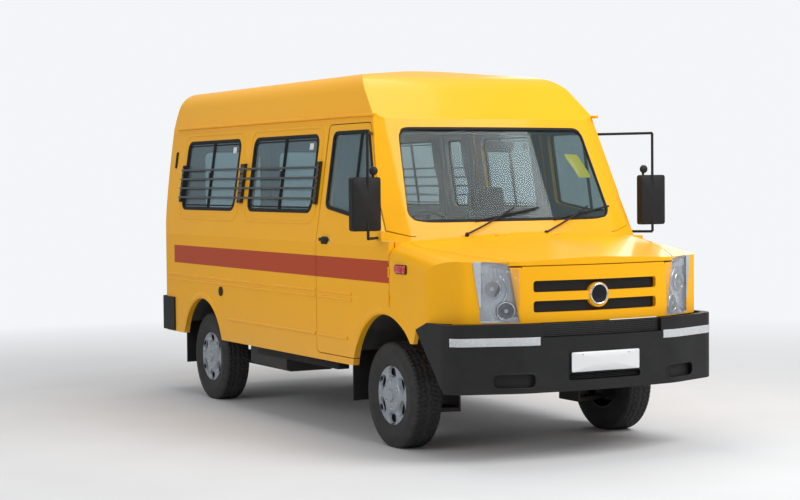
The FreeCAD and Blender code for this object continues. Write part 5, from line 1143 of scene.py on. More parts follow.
@dataclass
class FrontEnd:
    """Grille mesh, badge disc, head lamps, bumper tapes, plate and wipers."""

    works: Sheetwork
    badge_z: float = 1.0125
    seat_x: float = 2.516
    housing_back: float = 0.0275
    lamp_way: Tuple[float, float] = (0.92, 0.40)

    def build(self) -> None:
        """Make every front piece."""
        self.mesh_grille()
        self.badge()
        self.tapes()
        self.number_plate()
        self.bumper_detail()
        for side, sign in SIDES.items():
            self.head_lamp(side, sign)
        self.wipers()

    def mesh_grille(self) -> None:
        """Woven wire sheet behind both mouths: two families of slanting wires as one piece."""
        parts = []
        for low, high in ((0.911, 0.981), (1.034, 1.104)):
            tall = high - low + 0.01
            for lean in (-1.0, 1.0):
                start = np.arange(-0.60, 0.60, 0.0135)
                share = np.linspace(0, 1, 6)
                y = start[:, None] + lean * tall * 0.8 * (share[None] - 0.5)
                z = np.broadcast_to(low - 0.005 + tall * share[None], y.shape)
                keep = np.abs(y).max(1) < 0.462
                y, z = y[keep], z[keep]
                x = plan_x(NOSE_PLAN, y) - 0.0295 - 0.0015 * lean
                across = np.array([-1.0, 1.0, 1.0, -1.0]) * 0.0012
                deep = np.array([-1.0, -1.0, 1.0, 1.0]) * 0.001
                ring = np.stack(np.broadcast_arrays(x[..., None] + deep, y[..., None] + across,
                                                    z[..., None]), -1)
                for strand in ring:
                    parts.append(self.works.piece("wire", strand, "body", "wire", sharp=30.0))
        self.works.join("grille_wires", parts)

    def badge(self) -> None:
        """Silver ring round a plain dark face."""
        x = float(plan_x(NOSE_PLAN, np.array(0.0)))
        centre = np.array([x, 0.0, self.badge_z])
        turn = np.linspace(0, 2 * math.pi, 12, endpoint=False)
        ring = np.stack([0.061 + 0.006 * np.cos(turn), 0.004 + 0.006 * np.sin(turn)], 1)
        face = np.array([(0.058, -0.004), (0.058, 0.003), (0.040, 0.0055), (0.020, 0.0065)])
        angle = np.linspace(0, 2 * math.pi, 64, endpoint=False)
        grid = np.stack(np.broadcast_arrays(
            centre[0] + ring[None, :, 1], centre[1] + ring[None, :, 0] * np.cos(angle)[:, None],
            centre[2] + ring[None, :, 0] * np.sin(angle)[:, None]), -1)
        parts = [self.works.piece("badge_ring", grid, "body", "chrome", closed_u=True),
                 self.works.lathe("badge_face", face, centre, FORWARD, "body", "gloss_black", 64)]
        self.works.join("badge_disc", parts)

    def tapes(self) -> None:
        """White reflective tapes that wrap the bumper's corners."""
        for side, sign in SIDES.items():
            half = BUMPER_PLAN[BUMPER_PLAN[:, 1] * sign > 0.0]
            line = resample(half[np.argsort(half[:, 1] * sign)], 400, False)
            line = resample(line[(line[:, 1] * sign > 0.454) & (line[:, 0] > 2.285)], 60, False)
            along = np.gradient(line, axis=0)
            out = unit(np.stack([along[:, 1] * sign, -along[:, 0] * sign], 1))
            path = np.column_stack([line, np.full(len(line), 0.745)])
            ring = rectangle((-0.025, -0.001), (0.025, 0.0022), 0.0008, 3)
            self.works.sweep("tape_" + side, path, np.column_stack([out, np.zeros(len(out))]), ring,
                             "body", "tape", closed=False)

    def number_plate(self) -> None:
        """Blank number plate on the bumper's seat, with two screws."""
        front = upright(self.seat_x, 1.0)
        backing = rectangle((-0.257, 0.5405), (0.257, 0.6735), 0.008, 5)
        outline = rectangle((-0.25, 0.547), (0.25, 0.667), 0.007, 5)
        parts = [self.works.plate("plate_backing", backing, -0.002, 0.0018, 0.0006, front, "body",
                                  "black_plastic"),
                 self.works.plate("plate_blank", outline, 0.001, 0.0036, 0.0006, front, "body",
                                  "plate_white")]
        for y in (-0.17, 0.17):
            parts.append(self.works.lathe("plate_screw", np.array(
                [(0.006, 0.0), (0.006, 0.0046), (0.003, 0.0052)]),
                np.array([self.seat_x, y, 0.650]), FORWARD, "body", "chrome", 16))
        self.works.join("number_plate_front", parts)

    def bumper_detail(self) -> None:
        """Mesh in the centre recess, slats in the intake and lips round the lamp pockets."""
        y = np.linspace(-0.435, 0.435, 60)
        thin = rectangle((-0.0015, -0.0015), (0.0015, 0.0015), 0.0006, 2)
        parts = []
        for z in np.arange(0.774, 0.846, 0.0115):
            path = np.stack([plan_x(BUMPER_PLAN, y) - 0.024, y, np.full_like(y, z)], 1)
            parts.append(self.works.sweep("recess_wire", path, FORWARD, thin, "body", "wire",
                                          closed=False))
        z = np.linspace(0.768, 0.848, 6)
        for place in np.arange(-0.43, 0.431, 0.0125):
            x = float(plan_x(BUMPER_PLAN, np.array(place))) - 0.0245
            path = np.stack([np.full_like(z, x), np.full_like(z, place), z], 1)
            parts.append(self.works.sweep("recess_wire", path, FORWARD, thin, "body", "wire",
                                          closed=False))
        self.works.join("bumper_recess_mesh", parts)
        slats = []
        for z in (0.508, 0.5175, 0.527):
            path = np.stack([plan_x(BUMPER_PLAN, y * 0.6) - 0.022, y * 0.6, np.full_like(y, z)], 1)
            slats.append(self.works.sweep("intake_slat", path, FORWARD,
                                          rectangle((-0.002, -0.006), (0.002, 0.006), 0.001, 3),
                                          "body", "rubber", closed=False))
        self.works.join("intake_slats", slats)
        for side, sign in SIDES.items():
            outline = resample(rectangle((0.485, 0.462), (0.745, 0.552), 0.034), 90, True)
            y = sign * outline[:, 0]
            path = np.stack([plan_x(BUMPER_PLAN, y) - 0.001, y, outline[:, 1]], 1)
            out = np.column_stack([np.full(90, 0.95), np.full(90, sign * 0.30), np.zeros(90)])
            self.works.sweep("fog_lip_" + side, path, out, bead(0.011, 0.0035, 7, 0.003), "body",
                             "black_plastic")

    def lamp_cover(self, name: str, sign: float) -> bpy.types.Object:
        """Clear cover: a copy of the forward faces of one CAD lamp, 1.6 mm thick.

        Args:
            name: the piece's name.
            sign: the lamp's side.

        Returns:
            The piece.
        """
        source = frame["nodes"]["headlamps"].data
        source.calc_loop_triangles()
        co = np.empty(len(source.vertices) * 3, np.float32)
        tri = np.empty(len(source.loop_triangles) * 3, np.int32)
        source.vertices.foreach_get("co", co)
        source.loop_triangles.foreach_get("vertices", tri)
        co, tri = co.reshape(-1, 3).astype(float), tri.reshape(-1, 3)
        tri = tri[co[tri][:, :, 1].mean(1) * sign > 0]
        normal = np.cross(co[tri[:, 1]] - co[tri[:, 0]], co[tri[:, 2]] - co[tri[:, 0]])
        normal /= np.maximum(np.linalg.norm(normal, axis=1, keepdims=True), 1e-12)
        ahead = normal @ np.array([self.lamp_way[0], sign * self.lamp_way[1], 0.0]) > 0.45
        tri = tri[ahead]
        used, index = np.unique(tri, return_inverse=True)
        mesh = bpy.data.meshes.new(name)
        points = co[used] - np.array([0.0010, sign * 0.0004, 0.0])
        mesh.from_pydata(points, [], index.reshape(-1, 3))
        mesh.update()
        return self.works.dress(name, mesh, "body", "clear_lens", 30.0, 0.0016)

    def head_lamp(self, side: str, sign: float) -> None:
        """Clear cover over a bright housing with two faceted bowls, ribs and a dotted turn lamp.

        The cover is the forward faces of the CAD lamp; the housing lies behind it by a named
        depth, and the bowls stand before the housing and face as the lamp does. A painted strip
        gives the inner edge its slant, and a bright part runs round the corner at the top.
        """
        way = np.array([self.lamp_way[0], sign * self.lamp_way[1], 0.0])
        way /= np.linalg.norm(way)
        cover = self.lamp_cover("lamp_cover_" + side, sign)
        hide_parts("headlamps")
        flip = np.array([sign, 1.0])

        def seat(y: float, z: float, back: float) -> Array:
            """A point behind the cover's face."""
            place = np.array([float(plan_x(NOSE_PLAN, np.array(sign * y))), sign * y, z])
            return place - way * back

        def lay(y: Array, z: Array, out: Array) -> Array:
            """Surface of the housing, behind the nose's face, raised by out."""
            x = plan_x(NOSE_PLAN, y) - self.housing_back + np.asarray(out)
            return np.stack(np.broadcast_arrays(x, y, z), -1)

        def skin(y: Array, z: Array, out: Array) -> Array:
            """The nose's own surface, raised by out."""
            return lay(y, z, np.asarray(out) + self.housing_back)
        frame_line = round_corners(np.array([
            (0.537, 0.856), (0.772, 0.856), (0.772, 1.222), (0.616, 1.218), (0.606, 1.186),
            (0.537, 1.186)]) * flip, np.array([0.02, 0.02, 0.012, 0.006, 0.004, 0.012]), 5)
        self.works.plate("lamp_housing_" + side, frame_line, -0.004, 0.0, 0.001, lay, "body",
                         "lamp_silver")
        rim = resample(frame_line, 110, True)
        path = lay(rim[:, 0], rim[:, 1], np.full(110, 0.0125))
        self.works.sweep("lamp_bezel_" + side, path, way,
                         rectangle((-0.0012, -0.0125), (0.0012, 0.0125), 0.001, 3), "body",
                         "lamp_silver")
        strip = round_corners(np.array([(0.534, 0.853), (0.545, 0.853), (0.603, 1.187),
                                        (0.534, 1.187)]) * flip, np.full(4, 0.002), 4)
        self.works.plate("lamp_inner_strip_" + side, strip, -0.010, 0.0004, 0.001, skin, "body",
                         "paint")
        corner = round_corners(np.array([(0.768, 0.900), (0.794, 1.080), (0.812, 1.226),
                                         (0.766, 1.224)]) * flip,
                               np.array([0.004, 0.06, 0.006, 0.003]), 5)
        self.works.plate("lamp_corner_" + side, corner, -0.001, 0.0045, 0.002, skin, "body",
                         "lamp_silver")
        for i, (y, z, size) in enumerate(((0.703, 1.059, 0.052), (0.625, 0.925, 0.052))):
            face = seat(y, z, 0.0225)
            profile = np.array([(1.12, -0.002), (1.12, 0.013), (1.06, 0.0165), (0.98, 0.0155),
                                (0.90, 0.010), (0.72, 0.004), (0.45, 0.001), (0.30, 0.0)])
            profile[:, 0] *= size
            # Each bowl gets a dark grey ring round its rim: painted shade in the gap before the
            # housing.
            parts = [self.works.lathe("bowl", profile, face, way, "body", "chrome", 26, 9.0),
                     self.works.lathe("bulb", np.array([
                         (0.015, 0.000), (0.015, 0.010), (0.011, 0.016), (0.005, 0.018)]), face, way,
                         "body", "lamp_silver", 20),
                     self.works.lathe("rim", np.array([
                         (size * 1.13, 0.000), (size * 1.18, 0.006), (size * 1.13, 0.012)]), face,
                         way, "body", "lamp_painted_shade", 40)]
            self.works.join("lamp_bowl_%s_%d" % (side, i), parts)
        strip = round_corners(np.array([(0.602, 1.158), (0.764, 1.158), (0.764, 1.206),
                                        (0.602, 1.166)]) * flip,
                              np.array([0.003, 0.003, 0.006, 0.002]), 4)
        parts = [self.works.plate("turn_strip", strip, -0.003, 0.016, 0.003, lay, "body",
                                  "lamp_white")]
        # The dark grey dots on the turn strip are painted shade.
        for row, z in enumerate((1.170, 1.189)):
            for y in np.arange(0.632 + 0.045 * row, 0.755, 0.0215):
                parts.append(self.works.lathe("turn_dot", np.array(
                    [(0.0062, -0.004), (0.0058, 0.001), (0.003, 0.002)]), seat(y, z, 0.012), way,
                    "body", "lamp_painted_shade", 12))
        self.works.join("turn_lamp_" + side, parts)
        ribs = []
        for z in (0.872, 0.889, 0.906, 0.923, 0.940):
            a, b = sorted((sign * 0.690, sign * 0.758))
            ribs.append(self.works.plate("rib", rectangle((a, z), (b, z + 0.008), 0.003, 4), -0.003,
                                         0.007, 0.002, lay, "body", "lamp_silver"))
        turn = np.linspace(-1.35, 1.05, 26)
        y = sign * (0.690 - 0.082 * np.cos(turn))
        z = 1.050 + 0.098 * np.sin(turn)
        path = lay(y, z, np.full(26, 0.004))
        ribs.append(self.works.sweep("shroud_arc", path, way, bead(0.012, 0.009, 7, 0.004), "body",
                                     "chrome", closed=False))
        self.works.join("lamp_ribs_" + side, ribs)

    def wipers(self) -> None:
        """Two wipers parked on the windscreen's foot, each a pivot, an arm and a blade."""
        for i, (pivot, tip) in enumerate(((-0.416, -0.016), (0.192, 0.592))):
            foot = np.array([1.561, pivot, 1.368])
            end_z = 1.525
            end = WALLS.screen(np.array(tip), np.array(end_z), 0.020)
            share = np.linspace(0, 1, 20)[:, None]
            arm = foot * (1 - share) + end * share
            arm[:, 0] += 0.020 * np.sin(share[:, 0] * math.pi)
            out = np.array([0.9, 0.0, 0.42])
            thin = rectangle((-0.006, -0.004), (0.006, 0.004), 0.003, 3)
            parts = [self.works.sweep("wiper_arm", arm, out, thin, "body", "black_plastic",
                                      closed=False)]
            y = np.linspace(tip - 0.30, tip + 0.20, 24)
            z = end_z - 0.030 + (y - tip) * 0.16
            blade = WALLS.screen(y, z, np.full_like(y, 0.008))
            ring = rectangle((-0.006, -0.007), (0.006, 0.006), 0.003, 3)
            parts.append(self.works.sweep("wiper_blade", blade, out, ring, "body", "rubber",
                                          closed=False))
            cap = np.array([(0.013, -0.022), (0.013, 0.004), (0.009, 0.010), (0.004, 0.012)])
            parts.append(self.works.lathe("wiper_pivot", cap, foot, np.array([0.35, 0.0, 0.93]),
                                          "body", "black_plastic", 24))
            made = self.works.join("wiper_%d" % i, parts)
            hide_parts("wipers")


@dataclass
class Wheels:
    """Treaded tyres, pressed wheel covers, rim barrels and wheel nuts."""

    works: Sheetwork
    radius: float = 0.345
    half: float = 0.106
    tread: float = 0.088
    bead: float = 0.192
    z: float = 0.337
    track: float = 0.812
    around: int = 360
    ring_points: int = 84
    places: Tuple[Tuple[str, float, float], ...] = (
        ("front_right", 1.415, -1.0), ("front_left", 1.415, 1.0),
        ("rear_right", -1.635, -1.0), ("rear_left", -1.635, 1.0))

    def build(self) -> None:
        """Make all four."""
        for name, x, sign in self.places:
            self.tyre(name, x, sign)

    def tyre(self, name: str, x: float, sign: float) -> None:
        """Tyre from its section turned about the axle.

        The tread lies lower by 7 mm in four zigzag ring grooves and in slanting cross grooves,
        both cut from sine waves of the angle and the place across.

        Args:
            name: the wheel's name.
            x: the axle's place.
            sign: the side of the vehicle.
        """
        corners = np.array([(self.bead, -self.tread), (0.2685, -self.half),
                            (self.radius, -self.tread), (self.radius, self.tread),
                            (0.2685, self.half), (self.bead, self.tread)])
        section = round_corners(corners, np.array([0.004, 0.044, 0.022, 0.022, 0.044, 0.004]), 10)
        section = resample(section, self.ring_points, True)
        angle = np.linspace(0, 2 * math.pi, self.around, endpoint=False)[:, None]
        r = np.broadcast_to(section[None, :, 0], (self.around, self.ring_points)).copy()
        w = np.broadcast_to(section[None, :, 1], r.shape)
        zigzag = 0.0035 * np.sign(np.sin(angle * 35))
        rings = sum((np.abs(w - place - zigzag) < 0.0046).astype(float)
                    for place in (-0.056, -0.020, 0.020, 0.056))
        cross = (np.sin(angle * 70 + w * 60 * np.sign(w)) > 0.72) & (np.abs(w) > 0.024)
        crown = (r > self.radius - 0.012) & (np.abs(w) < 0.094)
        r -= 0.0065 * crown * np.clip(rings + cross, 0, 1)
        wall = (r > 0.222) & (r < 0.229) | (r > 0.300) & (r < 0.306)
        w = w + np.sign(w) * 0.0012 * wall * (np.abs(w) > 0.07)
        w = np.clip(w, -self.half, self.half)
        grid = np.stack([x + r * np.cos(angle), sign * self.track + w, self.z + r * np.sin(angle)],
                        -1)
        run = np.linspace(0, 0.55, self.ring_points)
        uv = np.stack(np.broadcast_arrays(angle * self.radius, run[None]), -1)
        made = self.works.piece("tyre_tread_" + name, grid, "road_wheel_" + name, "tyre",
                                closed_u=True, uv=uv, sharp=40.0)
        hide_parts("tyre_" + name)
        self.cover(name, x, sign)

    def cover(self, name: str, x: float, sign: float) -> None:
        """Pressed wheel cover whose six oval windows, ribs and cap are one formed surface.

        The height out is a sum of smooth steps of the radius r and the angle a: a rolled rim, a
        dished ring, a raised centre and a cap, less six deep ovals at radius 0.150 between six
        ribs, six small round hollows at radius 0.082 and a fine groove along each rib.

        Args:
            name: the wheel's name.
            x: the axle's place.
            sign: the side of the vehicle.
        """
        a = np.linspace(0, 2 * math.pi, 240, endpoint=False)[None, :]
        r = np.concatenate([np.linspace(0.004, 0.205, 76), [0.209, 0.2095]])[:, None]

        def step(low: float, high: float) -> Array:
            """Smooth rise from nought to one between two radii."""
            share = np.clip((r - low) / (high - low), 0, 1)
            return share * share * (3 - 2 * share)
        near = np.abs((a * 6 / (2 * math.pi)) % 1.0 - 0.5) * 2
        arc = (1 - near) * r * math.pi / 6
        oval = np.clip(1.12 - np.sqrt(((r - 0.152) / 0.034) ** 2 + (arc / 0.050) ** 2), 0, 0.28) / 0.28
        small = np.clip(1.25 - np.sqrt(((r - 0.086) / 0.0115) ** 2 + (arc / 0.0115) ** 2), 0,
                        0.5) / 0.5
        rib = np.exp(-((near * r * math.pi / 6) / 0.0022) ** 2) * step(0.112, 0.120) * (
            1 - step(0.176, 0.186))
        height = 0.010 + 0.012 * (1 - step(0.036, 0.044)) + 0.006 * (1 - step(0.100, 0.112))
        height = height - 0.010 * step(0.188, 0.196) + 0.007 * step(0.198, 0.204)
        height = height - 0.0215 * oval - 0.010 * small - 0.003 * rib
        height = height - 0.012 * step(0.2045, 0.2095)
        y = sign * (self.track + 0.0795 + height)
        spin = a + math.pi / 2
        grid = np.stack(np.broadcast_arrays(x + r * np.cos(spin), y, self.z + r * np.sin(spin)), -1)
        whole = (oval < 0.999) & (np.roll(oval, -1, 1) < 0.999)
        keep = whole[:-1] | whole[1:]
        body = "road_wheel_" + name
        made = self.works.piece("wheel_cover_" + name, grid, body, "wheel_silver", caps=False,
                                sharp=50.0, keep=keep)
        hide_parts("wheel_" + name)
        barrel = np.array([(0.030, 0.058), (0.180, 0.058), (0.184, 0.086), (0.1915, 0.088),
                           (0.1915, -0.088), (0.183, -0.088), (0.180, 0.046), (0.030, 0.046)])
        made = self.works.lathe("wheel_barrel_" + name, barrel,
                                np.array([x, sign * self.track, self.z]),
                                np.array([0.0, sign, 0.0]), body, "guard_steel", 72)
        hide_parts("wheel_" + name)
        parts = []
        for i in range(6):
            a0 = math.pi / 2 + i * math.pi / 3
            spot = np.array([x + 0.083 * math.cos(a0), sign * (self.track + 0.090),
                             self.z + 0.083 * math.sin(a0)])
            parts.append(self.works.lathe("wheel_nut", np.array(
                [(0.0075, -0.012), (0.0075, 0.002), (0.006, 0.005), (0.003, 0.006)]), spot,
                np.array([0.0, sign, 0.0]), body, "chrome", 6))
        self.works.join("wheel_nuts_" + name, parts)


@dataclass
class Seating:
    """Padded seats and backs in grey cloth."""

    works: Sheetwork
    cushion_z: float = 1.010
    thick: float = 0.110
    long: float = 0.450
    gap: float = 0.0003
    back_set: float = 0.05
    back_half: float = 0.0475

    def build(self) -> None:
        """Make the front pair and the benches."""
        front = [("seat_front_right", 0.560, -0.430, 0.245), ("seat_front_left", 0.560, 0.430, 0.245)]
        rows = [("bench_a_right", -0.180, -0.520, 0.330), ("bench_b_right", -1.000, -0.520, 0.330),
                ("bench_b_left", -1.000, 0.520, 0.330), ("bench_c_right", -1.800, -0.520, 0.330),
                ("bench_c_left", -1.800, 0.520, 0.330)]
        for node, places in (("front_seats", front), ("rear_seats", rows)):
            for name, x, y, half in places:
                for made in self.seat(name, x, y, half):
                    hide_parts(node)

    def seat(self, name: str, x: float, y: float, half: float) -> List[bpy.types.Object]:
        """Cushion and back of one seat."""
        base = self.cushion_z - self.thick
        centre = np.array([x + self.long / 2, y, base + self.thick / 2])
        cushion = self.pad(name + "_cushion", centre, np.eye(3),
                           (self.long / 2 - 0.002, half - 0.002, self.thick / 2 - 0.001),
                           (-0.40, 0.42), 0.0)
        up = np.array([-0.095, 0.0, 0.620])
        up /= np.linalg.norm(up)
        ahead = np.array([up[2], 0.0, -up[0]])
        axes = np.stack([up, np.array([0.0, 1.0, 0.0]), ahead])
        middle = np.array([x - self.gap - self.back_set - self.back_half, y, base + 0.310])
        back = self.pad(name + "_back", middle, axes, (0.306, half - 0.004, 0.046), (0.18, 0.62),
                        1.0)
        made = [cushion, back]
        if half < 0.3:
            rest = middle + up * 0.372 + ahead * 0.006
            made.append(self.pad(name + "_head_rest", rest, axes, (0.088, 0.135, 0.042),
                                 (0.0,), 0.6))
        return made

    def pad(self, name: str, centre: Array, axes: Array, half: Tuple[float, float, float],
            seams: Tuple[float, ...], arch: float) -> bpy.types.Object:
        """Crowned pad: two sheets over a rounded rectangle that meet in a welted rim.

        The thickness is the product of one minus a high power of each coordinate, to a small
        power; the sides draw in between the corners; sewn seams press narrow channels. With an
        arch the upper corners are cut to a round top.

        Args:
            name: the piece's name.
            centre: its middle.
            axes: its long, cross and thick directions as rows.
            half: its half sizes.
            seams: places of cross seams along it, as shares of its half length.
            arch: how far the top is rounded, from nought for a cushion to one for a back.

        Returns:
            The pad.
        """
        n = 50
        t = np.sin(np.linspace(-math.pi / 2, math.pi / 2, n))
        u, v = np.meshgrid(t, t, indexing="ij")
        top = np.clip(u, 0, 1)
        narrow = 1 - arch * 0.22 * top ** 3
        long = u * half[0] * (1 - 0.018 * np.cos(v * math.pi / 2)) * (
            1 - arch * 0.05 * (top * np.abs(v)) ** 2)
        wide = v * half[1] * narrow * (1 - 0.022 * np.cos(u * math.pi / 2))
        body = ((1 - u ** 8) * (1 - v ** 10)).clip(0, 1) ** 0.28
        crown = 0.84 + 0.16 * (1 - u ** 2) * (1 - v ** 2)
        press = sum(np.exp(-((u - s) / 0.022) ** 2) for s in seams)
        press = press + np.exp(-((np.abs(v) - 0.66) / 0.016) ** 2) * (np.abs(u) < 0.92)
        tall = half[2] * body * crown
        upper = tall - 0.007 * press * body
        lower = -tall * (0.96 if arch else 1.0)
        rows = np.concatenate([upper, lower[::-1][1:]], 0)
        along = np.concatenate([long, long[::-1][1:]], 0)
        across = np.concatenate([wide, wide[::-1][1:]], 0)
        points = centre + along[..., None] * axes[0] + across[..., None] * axes[1] + (
            rows[..., None] * axes[2])
        run = np.cumsum(np.concatenate([[0.0], np.abs(np.diff(along[:, n // 2])) + np.abs(
            np.diff(rows[:, n // 2]))]))
        uv = np.stack(np.broadcast_arrays(run[:, None], across), -1)
        made = self.works.piece(name, points, "body", "seat_cloth", closed_v=False, caps=False,
                                uv=uv, sharp=60.0)
        return made


@dataclass
class Curtains:
    """Gathered grey curtains on short rails beside the windows."""

    works: Sheetwork
    low: float = 1.445
    high: float = 2.070

    def build(self) -> None:
        """Make the four curtains."""
        for number, (side, x) in enumerate((("right", -1.030), ("right", 0.340), ("left", -1.030),
                                            ("left", -0.560))):
            self.curtain("curtain_%s_%d" % (side, number), SIDES[side], x)

    def curtain(self, name: str, sign: float, x: float) -> None:
        """One gathered sheet: folds are sine waves that open a little towards the hem.

        Args:
            name: the piece's name.
            sign: side of the vehicle.
            x: its middle along the vehicle.
        """
        u = np.linspace(-1, 1, 110)[None, :]
        t = np.linspace(0, 1, 40)[:, None]
        z = self.high - t * (self.high - self.low)
        pinch = 1 - 0.42 * np.exp(-((t - 0.62) / 0.16) ** 2)
        spread = 0.080 * pinch
        wave = np.sin(u * 5 * math.pi + 0.8 * np.sin(t * 3)) * 0.0095
        wave = wave + 0.003 * np.sin(u * 13 * math.pi + t * 4)
        depth = WALLS.y(z) - 0.060 + wave * (0.8 + 0.2 * t)
        grid = np.stack(np.broadcast_arrays(x + u * spread, sign * depth, z), -1)
        step = np.linalg.norm(np.diff(grid, axis=1), axis=2).sum(1)
        width = float(step.mean())
        uv = np.stack(np.broadcast_arrays(u * width / 2, z), -1)
        made = self.works.piece(name, grid, "body", "curtain_cloth", closed_v=False, uv=uv,
                                sharp=80.0)
        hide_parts("curtains")


@dataclass
class Cabin:
    """Dashboard detail, inside mirror and blank window sign."""

    works: Sheetwork

    def build(self) -> None:
        """Make the inside pieces that the photograph shows."""
        self.mirror()
        self.sign()
        self.instruments()

    def mirror(self) -> None:
        """Wide mirror under the header on a short stem."""
        def lay(y: Array, z: Array, out: Array) -> Array:
            """Upright plane behind the screen that leans back a little."""
            return np.stack(np.broadcast_arrays(1.105 - np.asarray(out) + (np.asarray(z) - 1.95) * 0.2,
                                                y, z), -1)
        outline = rectangle((-0.02, 1.905), (0.22, 1.985), 0.030)
        parts = [self.works.plate("mirror_case", outline, -0.020, 0.004, 0.008, lay, "body",
                                  "black_plastic"),
                 self.works.plate("mirror_face", rectangle((-0.012, 1.913), (0.212, 1.977), 0.024),
                                  0.003, 0.006, 0.001, lay, "body", "mirror_glass")]
        stem = np.array([(1.118, 0.10, 1.975), (1.13, 0.10, 2.01), (1.125, 0.10, 2.07)])
        parts.append(self.works.sweep("mirror_stem", resample(stem, 12, False), FORWARD,
                                      rectangle((-0.008, -0.008), (0.008, 0.008), 0.006, 3), "body",
                                      "black_plastic", closed=False))
        self.works.join("inside_mirror", parts)

    def sign(self) -> None:
        """Blank yellow safety sign fixed behind the screen."""
        corners = np.array([(0.531, 1.902), (0.654, 1.895), (0.735, 1.737), (0.620, 1.738)])
        outline = round_corners(corners, np.full(4, 0.012), 5)

        def lay(y: Array, z: Array, out: Array) -> Array:
            """Surface just inside the glass."""
            return WALLS.screen(y, z, np.asarray(out) - 0.024)
        self.works.plate("window_sign", outline, 0.0, 0.003, 0.001, lay, "body", "sign_yellow")

    def instruments(self) -> None:
        """Hood before the driver, air vents and a glove box lid."""
        lay = upright(1.150, -1.0)
        parts = [self.works.plate("glove_lid", rectangle((0.25, 1.02), (0.72, 1.20), 0.02), -0.004,
                                  0.006, 0.004, lay, "body", "dash")]
        for y in (-0.80, -0.12, 0.12, 0.80):
            parts.append(self.works.plate("air_vent", rectangle((y - 0.06, 1.205), (y + 0.06, 1.265),
                                                                0.012),
                                          -0.004, 0.008, 0.004, lay, "body", "black_plastic"))
        self.works.join("dash_detail", parts)
        y = np.linspace(-0.58, -0.20, 30)
        lift = 0.050 * np.sin((y + 0.58) / 0.38 * math.pi) ** 0.6
        path = np.stack([np.full_like(y, 1.20), y, 1.300 + lift], 1)
        self.works.sweep("instrument_hood", path, np.array([0.0, 0.0, 1.0]),
                         rectangle((-0.085, -0.030), (0.085, 0.004), 0.012, 4), "body", "dash",
                         closed=False)


@dataclass
class RearEnd:
    """Rear door handle and the sections of the tail lamps."""

    works: Sheetwork

    def build(self) -> None:
        """Make the rear trim."""
        pieces = [self.works.plate("rear_handle_cup", rectangle((-0.155, 1.168), (-0.035, 1.232),
                                                                0.018), -0.002, 0.004, 0.003,
                                   WALLS.back, "rear_door_right", "black_plastic")]
        y = np.linspace(-0.150, -0.040, 16)
        lift = 0.004 + 0.010 * np.sin(np.linspace(0, math.pi, 16)) ** 0.5
        path = WALLS.back(y, np.full_like(y, 1.203), lift)
        pieces.append(self.works.sweep("rear_handle_grip", path, np.array([-1.0, 0.0, 0.0]),
                                       rectangle((-0.010, -0.004), (0.010, 0.004), 0.003, 4),
                                       "rear_door_right", "black_plastic", closed=False))
        self.works.join("rear_handle", pieces)
        for side, sign in SIDES.items():
            for z0, z1, finish, label in ((0.966, 1.060, "red_lens", "stop"),
                                          (1.066, 1.150, "clear_plastic", "reverse"),
                                          (1.156, 1.240, "amber_lens", "turn"),
                                          (1.246, 1.324, "red_lens", "tail")):
                a, b = sorted((sign * 0.751, sign * 0.844))
                self.works.plate("rear_lamp_%s_%s" % (label, side), rectangle((a, z0), (b, z1),
                                                                              0.008),
                                 0.018, 0.026, 0.003, WALLS.back, "body", finish, 0.004)


@dataclass
class Mirrors:
    """Glass faces, domed backs and blind spot mirrors of the door mirrors."""

    works: Sheetwork
    rear_x: float = 1.4475
    front_x: float = 1.4925

    def build(self) -> None:
        """Dress both mirrors on their doors."""
        for side, sign in SIDES.items():
            body = FRONT_DOORS[side]
            a, b = sorted((sign * 1.022, sign * 1.203))
            self.works.plate("mirror_glass_" + side, rectangle((a, 1.412), (b, 1.730), 0.022), -0.001,
                             0.004, 0.002, upright(self.rear_x, -1.0), body, "mirror_glass")
            spot = np.array([1.470, sign * 1.050, 1.782])
            ball = np.array([(0.026, -0.008), (0.029, 0.0), (0.026, 0.012), (0.014, 0.019),
                             (0.005, 0.021)])
            parts = [self.works.lathe("blind_spot", ball, spot, np.array([1.0, 0.0, 0.1]), body,
                                      "black_plastic", 32),
                     self.works.lathe("spot_stem", np.array([(0.008, -0.04), (0.008, 0.02)]),
                                      spot + np.array([-0.006, 0.0, -0.03]),
                                      np.array([0.0, 0.0, 1.0]), body, "black_plastic", 16)]
            self.works.join("blind_spot_mirror_" + side, parts)
            a, b = sorted((sign * 1.013, sign * 1.212))
            self.works.plate("mirror_back_" + side, rectangle((a, 1.403), (b, 1.739), 0.030),
                             -0.006, 0.004, 0.004, upright(self.front_x, 1.0), body, "black_plastic",
                             0.012)


